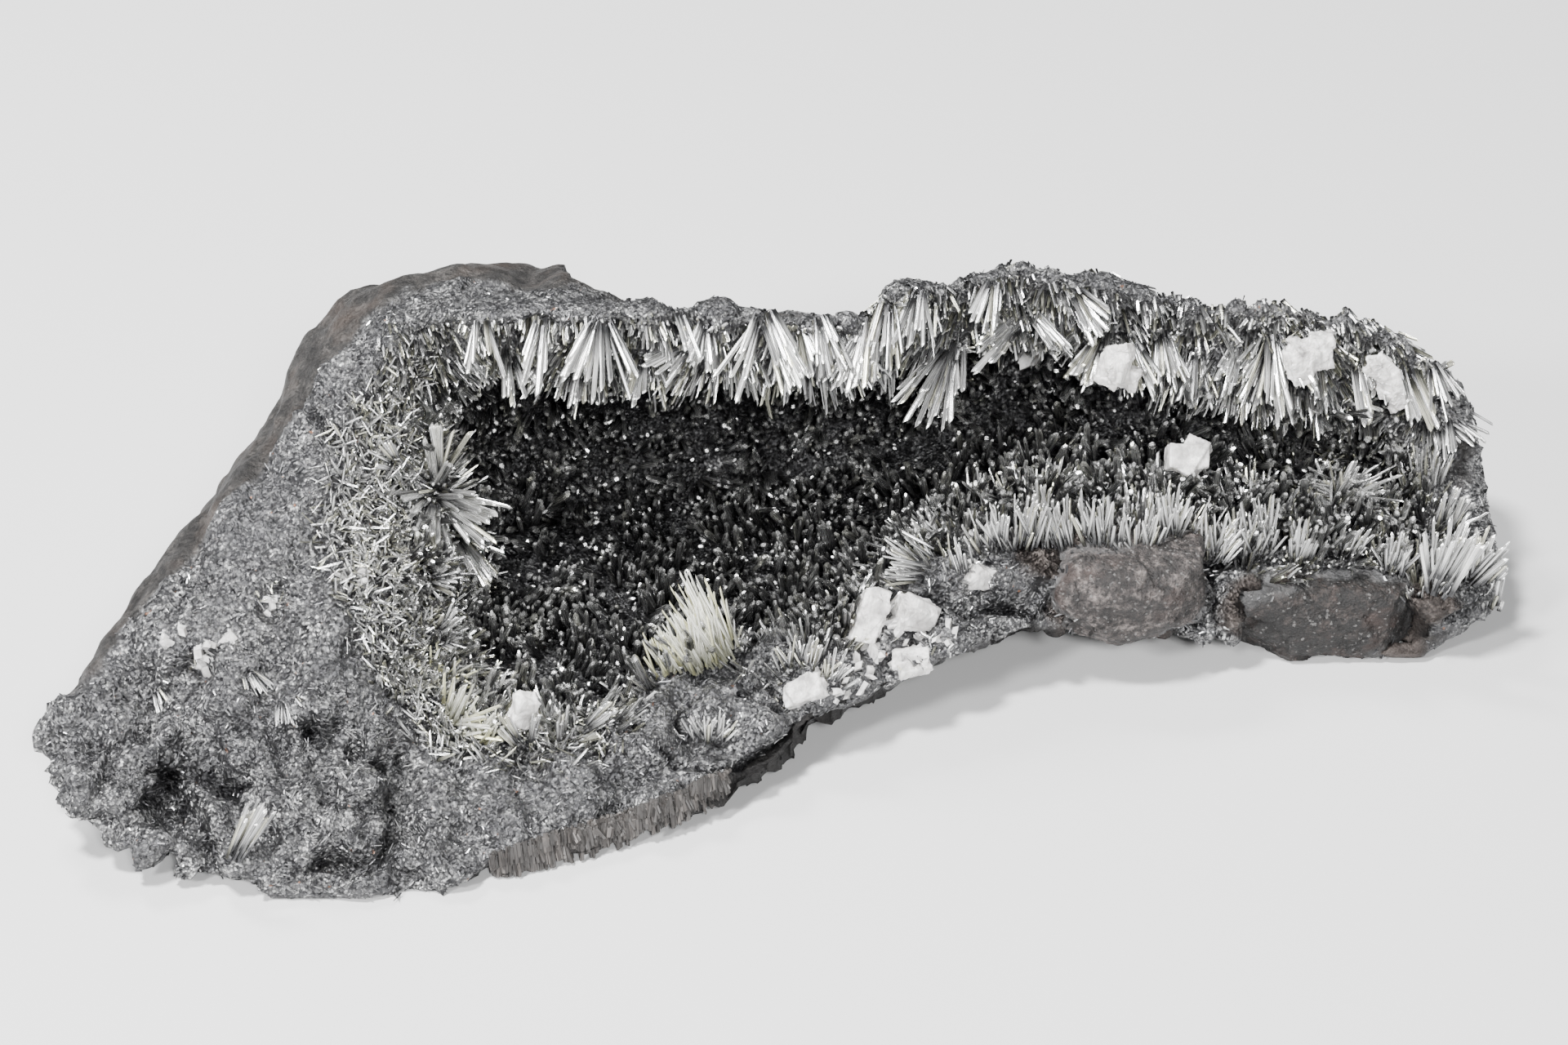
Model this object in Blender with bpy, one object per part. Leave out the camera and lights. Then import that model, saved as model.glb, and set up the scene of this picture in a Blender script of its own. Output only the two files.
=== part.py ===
"""Pyrolusite specimen: a massive, granular ore body with a needle-lined hollow, host rock and white crystals.

Lengths below are millimetres: X runs to the right along the specimen, Y away from its broken front, Z up.
"""

import math
import random

import bmesh
import bpy
import numpy as np
from mathutils import Euler, Matrix, Vector, noise
from mathutils.bvhtree import BVHTree

MM = 0.001
NAME = "pyrolusite_specimen"

# Guide lines of the body, each a list of (x, y, z) that the cross sections are drawn through.
TOE = [(-44, 8, 5), (-42, 4, 3.5), (-38, 2.5, 2.5), (-32, 1, 0.8), (-26, 0, 0), (-17, 1, 0),
       (-11, 3.5, 0.6), (-3, 8, 1.2), (2, 11, 2), (8, 16, 3.5), (15, 20.5, 4.5), (22, 21.5, 3.6),
       (28, 23.5, 2.5), (33, 24.5, 0.4), (40, 24.5, 0), (46, 26, 3.5)]
EDGE = [(-44, 8, 5.5), (-42, 4.5, 4.5), (-38, 3, 3.5), (-32, 1.5, 2), (-26, 0, 1.6), (-17, 1.5, 1.6),
        (-11, 4.5, 2), (-3, 9.5, 2.8), (2, 12.5, 3.7), (8, 16.5, 4.8), (15, 20.5, 5.8), (22, 22, 6),
        (28, 23.5, 5), (33, 24.5, 4.5), (40, 24.5, 4.5), (46, 26, 4.5)]
RIM = [(-24, 21.5, 15.5), (-22.5, 17.5, 11), (-21.5, 14.5, 8.5), (-19.5, 11.5, 6.5), (-15.5, 9.5, 5),
       (-11, 9.5, 5), (-8, 13.5, 7), (-4, 16.5, 7.8), (3, 17, 7.6), (5, 21, 9), (8.5, 25, 10), (12, 28, 11),
       (18, 28.2, 11), (27, 28.8, 10), (33, 26.5, 8.5), (38, 27.3, 8), (46, 29, 7)]
LIP = [(-24, 25, 17.5), (-22, 26, 18.2), (-19, 27, 18.8), (-11, 26, 17.6), (-5, 26.5, 17.8), (4, 27, 17.2),
       (7, 28.5, 17.3), (11, 30.5, 18), (15, 32, 18.6), (19, 31.5, 16.8), (23, 31, 15.2), (28, 31, 14),
       (33, 32, 12.9), (39, 34, 11.2), (46, 34, 9)]
CREST = [(-44, 8, 6.2), (-40, 10, 8.5), (-35.5, 15.7, 13), (-30.5, 20.5, 17.5), (-27, 26.2, 22), (-24, 26.4, 24),
         (-14, 26.2, 24.6), (-5, 27, 24), (4, 27.2, 23), (7.5, 29.5, 24.6), (10, 30.5, 23.8), (14.5, 32.5, 24.4),
         (18.5, 32.8, 23), (26, 34, 21), (34, 36, 19), (41, 37.5, 16.5), (46, 36.5, 14)]
SHOULDER = [(-44, 8.3, 6.1), (-41.5, 11.7, 7.8), (-37.5, 18.5, 11.3), (-33, 26, 15.5), (-30, 33, 19),
            (-26, 35, 21), (-20, 36, 22), (-14, 36, 22.4), (-9, 33, 20.4), (-4, 33, 19.4), (2, 33, 18.9),
            (8, 36, 19.2), (20, 38, 18.6), (30, 40, 16), (38, 41, 14), (46, 39, 11.5)]
BACK = [(-44, 8.4, 5.8), (-40, 12.8, 7), (-35, 21.5, 10), (-30, 32, 13), (-20, 42, 14.5), (0, 44.5, 15),
        (20, 45.5, 14.5), (30, 44.5, 13), (38, 43, 11), (46, 39.5, 9)]
SEAT = [(-44, 8.4, 5.4), (-40, 12, 4.6), (-35, 20.5, 4.5), (-30, 30.5, 5), (-20, 41.5, 5), (0, 45, 4.5),
        (20, 45.5, 4.5), (30, 44.5, 4.5), (38, 42, 4.5), (46, 38, 5)]
HEEL = [(-44, 8.2, 5.1), (-40, 10, 3.6), (-35, 17.5, 2.6), (-30, 26, 1.6), (-20, 36, 0), (-10, 39, -0.7),
        (20, 40, -0.7), (30, 39.5, -0.4), (38, 36, 0), (46, 34, 3.4)]
SOLE = [(-44, 8, 5), (-40, 6.5, 3), (-32, 11, 1.6), (-20, 17, 1.2), (0, 25, 1.6), (15, 30, 3.4), (24, 31, 2.4),
        (32, 31, -0.5), (40, 31, -0.5), (46, 30, 3.2)]

# Guide lines of the bed that the needle crust lies on, inside the hollow.
FLOOR = [(-23, 21.5, 14), (-21, 17, 7.4), (-18, 14.5, 4.4), (-10, 15.5, 3.4), (0, 20.5, 4), (6, 26.5, 7.2),
         (12, 31, 8.8), (20, 31, 9.2), (30, 31, 8), (38, 31, 7), (42, 31, 7.2)]
WALL_LOW = [(-23, 24.5, 15), (-21, 28, 8.6), (-18, 32, 5.8), (-10, 35, 5), (0, 36, 6), (6, 36.5, 8),
            (12, 37, 9.8), (20, 37, 10.2), (30, 36, 8.8), (38, 34.6, 7.5), (42, 33, 7.7)]
WALL_HIGH = [(-23, 28.5, 17), (-21, 31.5, 15), (-18, 35.5, 14.6), (-10, 37, 14.6), (0, 37.5, 15), (6, 38, 15.4),
             (12, 38.5, 15.4), (20, 38.6, 14.4), (30, 38, 12), (38, 37, 9.6), (42, 35.6, 8.8)]
ROOF = [(-23, 29, 18.8), (-21, 30, 18.4), (-18, 31.5, 18.6), (-10, 31.5, 18.6), (0, 32, 18.4),
        (6, 33.5, 18.8), (12, 35.4, 19), (20, 35.6, 17.2), (30, 35.4, 14.2), (38, 35.6, 11.2), (42, 35.2, 9.6)]

TIP_X, END_X = -44.0, 45.6          # the specimen's left tip and the foot of its broken right end
STATIONS = 82                       # cross sections of the body
END_LEAN = 0.22                     # how far the right end leans back, mm per mm of height
END_LEAN_FROM = 30.0
FACE_TURN = (-26.5, -23.0)          # from the flat face on the left to the hollow's mouth
RIM_SHARE, LIP_SHARE = 0.35, 0.72   # rim and lip on the flat face, as shares of the way up it
BODY_SHARE = 0.46                   # share of the triangles that the body keeps
GROUND = 0.0                        # what dips under it is worn flat, which makes the resting facets

FRACTURE_GRAIN, FRACTURE_RISE = 4.2, 0.55
FINE_GRAIN, FINE_RISE = 1.6, 0.22
LUMP_SIZE, LUMP_RISE = 6.5, 1.2
# Single knobs, grooves and pits of the front and foot: (x, y, z), reach, rise.
KNOBS = [((-39.5, 4, 6), 4.2, 1.2), ((-34.8, 3.4, 3.8), 2.0, -0.8), ((-29, 0.6, 2.2), 4.5, 0.7),
         ((-26.5, 6, 6), 2.0, -1.3), ((-22, 13.5, 14), 2.6, 0.6), ((-33, 12, 10.5), 3.0, 0.6),
         ((-17.5, 1, 1.2), 2.0, -0.8), ((-4, 9.5, 2), 3.0, 0.5), ((2.5, 12, 3), 1.6, -0.8)]
LEDGES = ((8.0, 19.0), 1.7, 0.45)   # x range, height of a step, depth of a step

MOUTH = (-24.8, 43.0)               # the crust's bed along X, from where it leaves the face to where it returns
MOUTH_TAPER = (2.6, 3.0)            # length of its run-in at the left and at the right
BED_STATIONS = 31
BED_OUT = 0.9                       # how far the bed's margins stand out of the face, so the cut is clean
BED_FRONT = 6.0                     # how far the cutter bulges out in front of the mouth
RIM_DEPTH, LIP_DEPTH = 1.7, 1.6     # depth of the bed under the rim and behind the lip
MARGIN_LOW, MARGIN_HIGH = 0.35, 0.86
GAP = 0.3
CRUST = 1.1                         # thickness of the crust between its needles
NEEDLE = (1.6, 3.2)                 # needles that stand out of the crust
THINNEST = 0.15
CRUST_SHARE = 0.4                   # thickest crust, as a share of the distance between points on both sides
SHORTENINGS = 20
NEEDLE_ROOM = 0.2                   # longest needle, as a share of the hollow's height there

SILVER = ((0.30, 0.30, 0.30), 0.42, 0.85)
BLACK = ((0.12, 0.12, 0.125), 0.35, 0.85)
BROWN = ((0.30, 0.23, 0.17), 0.85, 0.0)
RUST = ((0.30, 0.17, 0.11), 0.85, 0.0)
WHITE = ((0.85, 0.84, 0.80), 0.35, 0.0)

# Host rock: name, middle, size, turn in degrees, colour.
BLOCKS = [("matrix_block_middle", (21.4, 22.7, 6.2), (9.4, 4.8, 4.9), (14, 0, 4), BROWN),
          ("matrix_block_right", (33.8, 26.6, 3.0), (12.8, 5.4, 5.2), (4, -2, 2), RUST)]
BLOCK_CUTS, BLOCK_ROUGH = 3, 0.35

# White crystals in sockets of the face: name, middle, size, turn in degrees.
SEATED = [("white_crystal_leaning_blade", (5.2, 17.9, 8.0), (1.7, 1.2, 4.4), (-18, 14, 20)),
          ("white_crystal_block", (8.0, 18.6, 7.6), (2.5, 2.0, 2.2), (20, 10, 25)),
          ("white_crystal_flat", (7.8, 16.2, 5.6), (2.6, 1.8, 0.9), (24, 6, 10)),
          ("white_crystal_tabular", (1.2, 13.6, 5.3), (3.0, 1.8, 1.4), (30, -6, -12)),
          ("white_crystal_small", (12.0, 21.6, 8.4), (2.0, 1.6, 1.7), (15, 20, 40)),
          ("white_crystal_face", (-30.2, 13.2, 11.8), (1.2, 1.4, 2.1), (-30, 10, 5)),
          ("white_crystal_patch", (-34.4, 10.6, 9.4), (2.1, 1.3, 1.2), (40, 5, -10))]
# White crystals that stand on the crust: name, place along the bed (x, share of its width), size, turn.
STANDING = [("white_crystal_upright", (-15, 0.06), (1.5, 1.2, 2.6), (5, 8, 0)),
            ("white_crystal_rim", (25.8, 0.07), (3.0, 1.7, 2.0), (12, -6, 18)),
            ("white_crystal_lip", (20.6, 0.86), (2.5, 1.7, 3.4), (6, 10, -12)),
            ("white_crystal_end", (32.4, 0.98), (2.9, 1.8, 3.2), (4, -8, 14)),
            ("white_crystal_long_blade", (37.4, 0.93), (1.4, 1.1, 4.8), (0, -24, 0))]
STAND_OFF = 1.8                     # from the bed to a standing crystal's nearest side
STANDING_CLEAR = 3.5                # no needles of the crust this near a standing crystal


def clear_scene():
    for thing in list(bpy.data.objects):
        bpy.data.objects.remove(thing, do_unlink=True)


def new_collection(name):
    collection = bpy.data.collections.new(name)
    bpy.context.scene.collection.children.link(collection)
    return collection


def material(name, look):
    colour, roughness, metallic = look
    made = bpy.data.materials.new(name)
    made.use_nodes = True
    shader = made.node_tree.nodes["Principled BSDF"]
    shader.inputs["Base Color"].default_value = (*colour, 1)
    shader.inputs["Roughness"].default_value = roughness
    shader.inputs["Metallic"].default_value = metallic
    made.diffuse_color = (*colour, 1)
    return made


def object_from(bm, name, collection, look=None):
    """An object of a bmesh in millimetres, with its faces turned outwards."""
    bmesh.ops.recalc_face_normals(bm, faces=bm.faces)
    bmesh.ops.scale(bm, vec=(MM, MM, MM), verts=bm.verts)
    mesh = bpy.data.meshes.new(name)
    bm.to_mesh(mesh)
    bm.free()
    made = bpy.data.objects.new(name, mesh)
    collection.objects.link(made)
    if look:
        mesh.materials.append(material(name, look))
    return made


def smooth(x, low, high):
    t = min(max((x - low) / (high - low), 0.0), 1.0)
    return t * t * (3 - 2 * t)


def at(line, x):
    """The (y, z) of a guide line at x."""
    xs, ys, zs = zip(*line)
    return np.array((np.interp(x, xs, ys), np.interp(x, xs, zs)))


def curve_through(points, counts):
    """A Catmull-Rom curve through the points, with its own number of steps on each span."""
    ends = [2 * points[0] - points[1]] + list(points) + [2 * points[-1] - points[-2]]
    out = []
    for i, count in enumerate(counts):
        a, b, c, d = ends[i:i + 4]
        for t in np.arange(count) / count:
            out.append(0.5 * (2 * b + (c - a) * t + (2 * a - 5 * b + 4 * c - d) * t**2
                              + (3 * b - a - 3 * c + d) * t**3))
    return out + [points[-1]]


def straight_through(points, counts):
    out = []
    for a, b, count in zip(points, points[1:], counts):
        out += [a + (b - a) * t for t in np.arange(count) / count]
    return out + [points[-1]]


def face_points(x):
    """Edge, rim, lip and crest at x. Left of the hollow, rim and lip lie on the flat broken face."""
    edge, crest = at(EDGE, x), at(CREST, x)
    turn = smooth(x, *FACE_TURN)
    rim = edge + (crest - edge) * RIM_SHARE
    lip = edge + (crest - edge) * LIP_SHARE
    return [edge, rim + (at(RIM, x) - rim) * turn, lip + (at(LIP, x) - lip) * turn, crest]


def leaned(x, y, z):
    return Vector((x - END_LEAN * z * smooth(x, END_LEAN_FROM, END_X), y, z))


FRONT_STEPS = (2, 5, 8, 5)
RIND_STEPS = (5, 5, 5, 4, 4, 5)


def body_section(x):
    """The closed outline at x: the broken front in straight runs, then the rind in a smooth curve."""
    front = straight_through([at(TOE, x)] + face_points(x), FRONT_STEPS)
    rind = curve_through([at(line, x) for line in (CREST, SHOULDER, BACK, SEAT, HEEL, SOLE, TOE)], RIND_STEPS)
    return [leaned(x, y, z) for y, z in front[:-1] + rind[:-1]]


def skin(rings, caps=True):
    """A bmesh over rings of equal length, closed at both ends by a fan."""
    bm = bmesh.new()
    rows = [[bm.verts.new(p) for p in ring] for ring in rings]
    for low, high in zip(rows, rows[1:]):
        for i in range(len(low)):
            j = (i + 1) % len(low)
            bm.faces.new((low[i], low[j], high[j]))
            bm.faces.new((low[i], high[j], high[i]))
    if caps:
        for row in (rows[0], rows[-1]):
            middle = bm.verts.new(sum((v.co for v in row), Vector()) / len(row))
            for i, vert in enumerate(row):
                bm.faces.new((vert, row[(i + 1) % len(row)], middle))
    bmesh.ops.recalc_face_normals(bm, faces=bm.faces)
    bm.normal_update()
    return bm, rows


def fracture_relief(p):
    near = noise.voronoi(p / FRACTURE_GRAIN)[0]
    blocks = min((near[1] - near[0]) / 0.35, 1.0) - 0.6
    return FRACTURE_RISE * blocks + FINE_RISE * noise.noise(p / FINE_GRAIN)


def rind_relief(p):
    near = noise.voronoi(p / LUMP_SIZE)[0]
    return LUMP_RISE * (0.45 - near[0] ** 2 * 1.6)


def ledge_relief(p):
    (low, high), height, depth = LEDGES
    inside = smooth(p.x, low, low + 3) * (1 - smooth(p.x, high - 3, high))
    return inside * depth * (2 * math.modf((p.z + 0.3 * noise.noise(p / 3)) / height)[0] - 1)


def knob_relief(p):
    return sum(rise * math.exp(-((p - Vector(middle)).length / reach) ** 2) for middle, reach, rise in KNOBS)


def body_relief(p, broken):
    """Outward shift of the surface at p; broken is 1 on the broken front and 0 on the rind."""
    front = fracture_relief(p) + ledge_relief(p)
    calm = smooth(p.x, TIP_X, TIP_X + 4)
    return calm * (broken * front + (1 - broken) * rind_relief(p)) + knob_relief(p)


def body_mesh():
    """The body before its hollow and sockets are cut."""
    xs = np.linspace(TIP_X, END_X, STATIONS)
    rings = [body_section(x) for x in xs]
    last = rings[-1]
    middle = sum(last, Vector()) / len(last)
    for share, bulge in ((0.72, 0.5), (0.4, 0.2)):
        rings.append([middle + (p - middle) * share + Vector((bulge, 0, 0)) for p in last])
    bm, rows = skin(rings)
    front = sum(FRONT_STEPS)
    shifts = {}
    for k, row in enumerate(rows):
        for i, vert in enumerate(row):
            broken = 1.0 if i <= front or k >= len(xs) - 1 else 0.0
            shifts[vert] = vert.normal * body_relief(vert.co, broken)
    for vert, shift in shifts.items():
        vert.co += shift
    return bm


def inward(points, i):
    """Unit normal into the rock of a front line that runs upwards, at its point i."""
    along = points[min(i + 1, len(points) - 1)] - points[max(i - 1, 0)]
    return np.array((along[1], -along[0])) / np.linalg.norm(along)


BED_STEPS = (1, 2, 2, 4, 2, 3, 2, 2, 2, 1)


def bed_section(x):
    """The bed's line at x, from below the rim, through the hollow, to below the crest."""
    edge, rim, lip, crest = face_points(x)
    low_out = rim + (edge - rim) * (MARGIN_LOW + 0.12)
    low = rim + (edge - rim) * MARGIN_LOW
    high = lip + (crest - lip) * MARGIN_HIGH
    high_out = lip + (crest - lip) * (MARGIN_HIGH + 0.1)
    half = (lip + high) / 2
    face = [low_out, low, rim] + [rim + (lip - rim) * t for t in (0.2, 0.4, 0.6, 0.8)] + [lip, half, high, high_out]
    slope_in = inward([edge, rim], 0)
    wall_in = inward([lip, crest], 0)
    face = [p - (slope_in if i < 3 else wall_in) * BED_OUT for i, p in enumerate(face)]
    deep = [low_out - slope_in * BED_OUT, low + slope_in * 0.9, rim + slope_in * RIM_DEPTH,
            at(FLOOR, x), at(WALL_LOW, x), at(WALL_HIGH, x), at(ROOF, x),
            lip + (wall_in + np.array((0.0, 0.5))) * LIP_DEPTH, half + wall_in * LIP_DEPTH,
            high + wall_in * 1.0, high_out - wall_in * BED_OUT]
    left, right = MOUTH
    depth = smooth(x, left, left + MOUTH_TAPER[0]) * (1 - smooth(x, right - MOUTH_TAPER[1], right))
    line = curve_through([f + (d - f) * depth for f, d in zip(face, deep)], BED_STEPS)
    return [leaned(x, y, z) for y, z in line]


def bed_grid():
    return [bed_section(x) for x in np.linspace(*MOUTH, BED_STATIONS)]


def cutter_object(bm, name, cutters):
    made = object_from(bm, name, cutters)
    made.hide_render = True
    made.display_type = "WIRE"
    return made


def cut(target, cutter):
    modifier = target.modifiers.new(cutter.name, "BOOLEAN")
    modifier.operation = "DIFFERENCE"
    modifier.object = cutter


def apply_modifiers(thing):
    graph = bpy.context.evaluated_depsgraph_get()
    plain = bpy.data.meshes.new_from_object(thing.evaluated_get(graph))
    thing.modifiers.clear()
    thing.data = plain


def hollow_cutter(grid, cutters):
    outwards = Vector((0, -1, 1)).normalized() * BED_FRONT
    bm, _ = skin([row + [row[-1] + outwards, row[0] + outwards] for row in grid])
    return cutter_object(bm, "hollow_cutter", cutters)


def ground_cutter(cutters):
    bm = bmesh.new()
    bmesh.ops.create_cube(bm, size=1.0, matrix=Matrix.Translation((0, 22, GROUND - 5)) @ Matrix.Diagonal((120, 80, 10, 1)))
    return cutter_object(bm, "ground_cutter", cutters)


def grid_normals(grid):
    """The grid's points, its unit normals into the open hollow, and how far a GAP is along each of them."""
    bm = bmesh.new()
    rows = [[bm.verts.new(p) for p in row] for row in grid]
    for low, high in zip(rows, rows[1:]):
        for j in range(len(low) - 1):
            bm.faces.new((low[j], high[j + 1], low[j + 1]))
            bm.faces.new((low[j], high[j], high[j + 1]))
    bm.normal_update()
    points = np.array([[tuple(v.co) for v in row] for row in rows])
    normals = np.array([[tuple(v.normal) for v in row] for row in rows])
    clear = np.array([[GAP * min(v.calc_shell_factor(), 2.0) for v in row] for row in rows])
    bm.free()
    return points[1:-1, 1:-1], normals[1:-1, 1:-1], clear[1:-1, 1:-1, None]


def standing_points(points, normals):
    """Where each standing crystal's foot is: (point, normal) on the bed."""
    found = {}
    for name, (x, share), size, turn in STANDING:
        i = int(np.argmin(abs(points[:, 0, 0] - x)))
        j = int(round(1 + share * (points.shape[1] - 3)))
        found[name] = (Vector(points[i, j]), Vector(normals[i, j]))
    return found


def crust_mesh(grid):
    """The crust: a slab over the bed, every inner cell drawn out into a leaning needle."""
    points, normals, clear = grid_normals(grid)
    rng = random.Random(11)
    feet = [foot for foot, _ in standing_points(points, normals).values()]
    bm = bmesh.new()
    rows, columns = points.shape[:2]
    floor = points + normals * clear
    outer = [[bm.verts.new(floor[i, j]) for j in range(columns)] for i in range(rows)]
    inner, feet_of = [], {}
    for i in range(rows):
        line = []
        for j in range(columns):
            border = i in (0, rows - 1) or j in (0, columns - 1)
            thick = CRUST * (0.6 if border else rng.uniform(0.85, 1.2))
            if not border:
                spacing = np.linalg.norm(points[i, j + 1] - points[i, j - 1])
                thick = min(thick, CRUST_SHARE * spacing)
            line.append(bm.verts.new(floor[i, j] + normals[i, j] * thick))
            feet_of[line[-1]] = Vector(floor[i, j] + normals[i, j] * THINNEST)
        inner.append(line)
    needles = []
    for i in range(rows - 1):
        for j in range(columns - 1):
            bm.faces.new((outer[i][j], outer[i][j + 1], outer[i + 1][j + 1]))
            bm.faces.new((outer[i][j], outer[i + 1][j + 1], outer[i + 1][j]))
            needles.append((i, j, bm.faces.new((inner[i][j], inner[i + 1][j], inner[i + 1][j + 1], inner[i][j + 1]))))
    ring = [(i, 0) for i in range(rows)] + [(rows - 1, j) for j in range(1, columns)]
    ring += [(i, columns - 1) for i in range(rows - 2, -1, -1)] + [(0, j) for j in range(columns - 2, 0, -1)]
    for (a, b), (c, d) in zip(ring, ring[1:] + ring[:1]):
        bm.faces.new((outer[a][b], outer[c][d], inner[c][d], inner[a][b]))
    drawn = [draw_needle(bm, face, points, normals, i, j, rng, feet) for i, j, face in needles]
    feet_of.update(needle for needle in drawn if needle)
    part_crossings(bm, feet_of)
    bmesh.ops.triangulate(bm, faces=bm.faces)
    return bm


def draw_needle(bm, face, points, normals, i, j, rng, feet):
    middle = face.calc_center_median()
    if any((middle - foot).length < STANDING_CLEAR for foot in feet):
        return None
    height = points[i, :, 2].max() - points[i, :, 2].min()
    longest = min(NEEDLE[1], NEEDLE_ROOM * height)
    length = rng.uniform(NEEDLE[0] * 0.7, longest) if longest > NEEDLE[0] * 0.7 else longest
    normal = Vector(normals[i, j] + normals[i + 1, j + 1] + normals[i + 1, j] + normals[i, j + 1]).normalized()
    lean = Vector((rng.uniform(-1, 1), rng.uniform(-1, 1), rng.uniform(-1, 1))) * 0.2
    tip = bmesh.ops.poke(bm, faces=[face])["verts"][0]
    tip.co = middle + (normal + lean) * length
    return tip, middle


def part_crossings(bm, feet_of):
    """Draws points of the crust back towards their feet until no two of its faces cross."""
    for _ in range(SHORTENINGS):
        bm.verts.index_update()
        bm.faces.ensure_lookup_table()
        tree = BVHTree.FromBMesh(bm)
        meeting = set()
        for a, b in tree.overlap(tree):
            corners, others = set(bm.faces[a].verts), set(bm.faces[b].verts)
            if a < b and not corners & others:
                meeting |= {vert for vert in corners | others if vert in feet_of}
        if not meeting:
            return
        for vert in meeting:
            vert.co = feet_of[vert].lerp(vert.co, 0.75)


def turn_matrix(turn):
    return Euler([math.radians(a) for a in turn]).to_matrix().to_4x4()


def prism_mesh(size, turn, middle, fat=0.0):
    """A crystal: a box with chamfered long edges and a slanted tip, grown by fat on every side."""
    bm = bmesh.new()
    bmesh.ops.create_cube(bm, size=1.0)
    bmesh.ops.scale(bm, vec=[s + 2 * fat for s in size], verts=bm.verts)
    for vert in bm.verts:
        if vert.co.z > 0 and vert.co.x > 0:
            vert.co.z -= 0.22 * min(size)
    bmesh.ops.transform(bm, matrix=Matrix.Translation(middle) @ turn_matrix(turn), verts=bm.verts)
    return bm


def block_mesh(middle, size, turn, fat=0.0):
    """A host-rock block: a subdivided box with a rough surface, grown by fat on every side."""
    bm = bmesh.new()
    bmesh.ops.create_cube(bm, size=1.0)
    bmesh.ops.subdivide_edges(bm, edges=bm.edges, cuts=BLOCK_CUTS, use_grid_fill=True)
    for vert in bm.verts:
        round_off = 1 - 0.16 * (vert.co.length / 0.87) ** 4
        vert.co = Vector(c * s * round_off for c, s in zip(vert.co, size))
    bmesh.ops.transform(bm, matrix=Matrix.Translation(middle) @ turn_matrix(turn), verts=bm.verts)
    bm.normal_update()
    shifts = [vert.normal * BLOCK_ROUGH * noise.noise(vert.co / 1.9) * 2 for vert in bm.verts]
    for vert, shift in zip(bm.verts, shifts):
        vert.co += shift
    bm.normal_update()
    grown = [vert.normal * fat * vert.calc_shell_factor() for vert in bm.verts]
    for vert, shift in zip(bm.verts, grown):
        vert.co += shift
    bmesh.ops.triangulate(bm, faces=bm.faces)
    return bm


def drop_crumbs(thing):
    """Keeps the largest body of a mesh and removes what the cuts broke off it."""
    apply_modifiers(thing)
    bm = bmesh.new()
    bm.from_mesh(thing.data)
    waiting, bodies = set(bm.verts), []
    while waiting:
        body, edge = set(), {waiting.pop()}
        while edge:
            body |= edge
            edge = {e.other_vert(v) for v in edge for e in v.link_edges} - body
        waiting -= body
        bodies.append(body)
    largest = max(bodies, key=len)
    bmesh.ops.delete(bm, geom=[v for v in bm.verts if v not in largest], context="VERTS")
    bm.to_mesh(thing.data)
    bm.free()


def add_blocks(body, nodes, cutters):
    made = []
    for name, middle, size, turn, look in BLOCKS:
        made.append(object_from(block_mesh(middle, size, turn), name, nodes, look))
        cut(body, cutter_object(block_mesh(middle, size, turn, GAP), name + "_socket", cutters))
    return made


def add_crystals(body, grid, nodes, cutters):
    made = []
    for name, middle, size, turn in SEATED:
        made.append(object_from(prism_mesh(size, turn, middle), name, nodes, WHITE))
        cut(body, cutter_object(prism_mesh(size, turn, middle, GAP), name + "_socket", cutters))
    points, normals, _ = grid_normals(grid)
    feet = standing_points(points, normals)
    for name, _, size, turn in STANDING:
        foot, normal = feet[name]
        sides = turn_matrix(turn).to_3x3().col
        reach = sum(abs(side.dot(normal)) * length / 2 for side, length in zip(sides, size))
        middle = foot + normal * (STAND_OFF + reach)
        made.append(object_from(prism_mesh(size, turn, middle), name, nodes, WHITE))
    return made


def recentre(things):
    """Moves every mesh so that the middle of the specimen's footprint is the origin."""
    corners = []
    graph = bpy.context.evaluated_depsgraph_get()
    for thing in things:
        corners += [v.co.copy() for v in thing.evaluated_get(graph).data.vertices]
    low = [min(c[i] for c in corners) for i in range(3)]
    high = [max(c[i] for c in corners) for i in range(3)]
    shift = Vector((-(low[0] + high[0]) / 2, -(low[1] + high[1]) / 2, -low[2]))
    for thing in bpy.data.objects:
        thing.data.transform(Matrix.Translation(shift))
    return shift


def main():
    clear_scene()
    nodes, cutters = new_collection(NAME), new_collection("cutters")
    body = object_from(body_mesh(), "ore_body", nodes, SILVER)
    fewer = body.modifiers.new("fewer", "DECIMATE")
    fewer.ratio = BODY_SHARE
    fewer.use_collapse_triangulate = True
    apply_modifiers(body)
    grid = bed_grid()
    crust = object_from(crust_mesh(grid), "cavity_needle_crust", nodes, BLACK)
    cut(body, hollow_cutter(grid, cutters))
    cut(body, ground_cutter(cutters))
    made = [body, crust]
    made += add_blocks(body, nodes, cutters)
    made += add_crystals(body, grid, nodes, cutters)
    drop_crumbs(body)
    return recentre(made)


shift = main()
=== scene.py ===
"""Looks of a pyrolusite specimen: granular ore, needle-lined hollow, host rock and white crystals.

Shapes are worked out in millimetres in the CAD's frame: X along the specimen, Y to the back, Z up.
"""

import math

import bmesh
import bpy
import numpy as np
from mathutils import Euler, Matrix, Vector, noise
from mathutils.bvhtree import BVHTree


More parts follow.
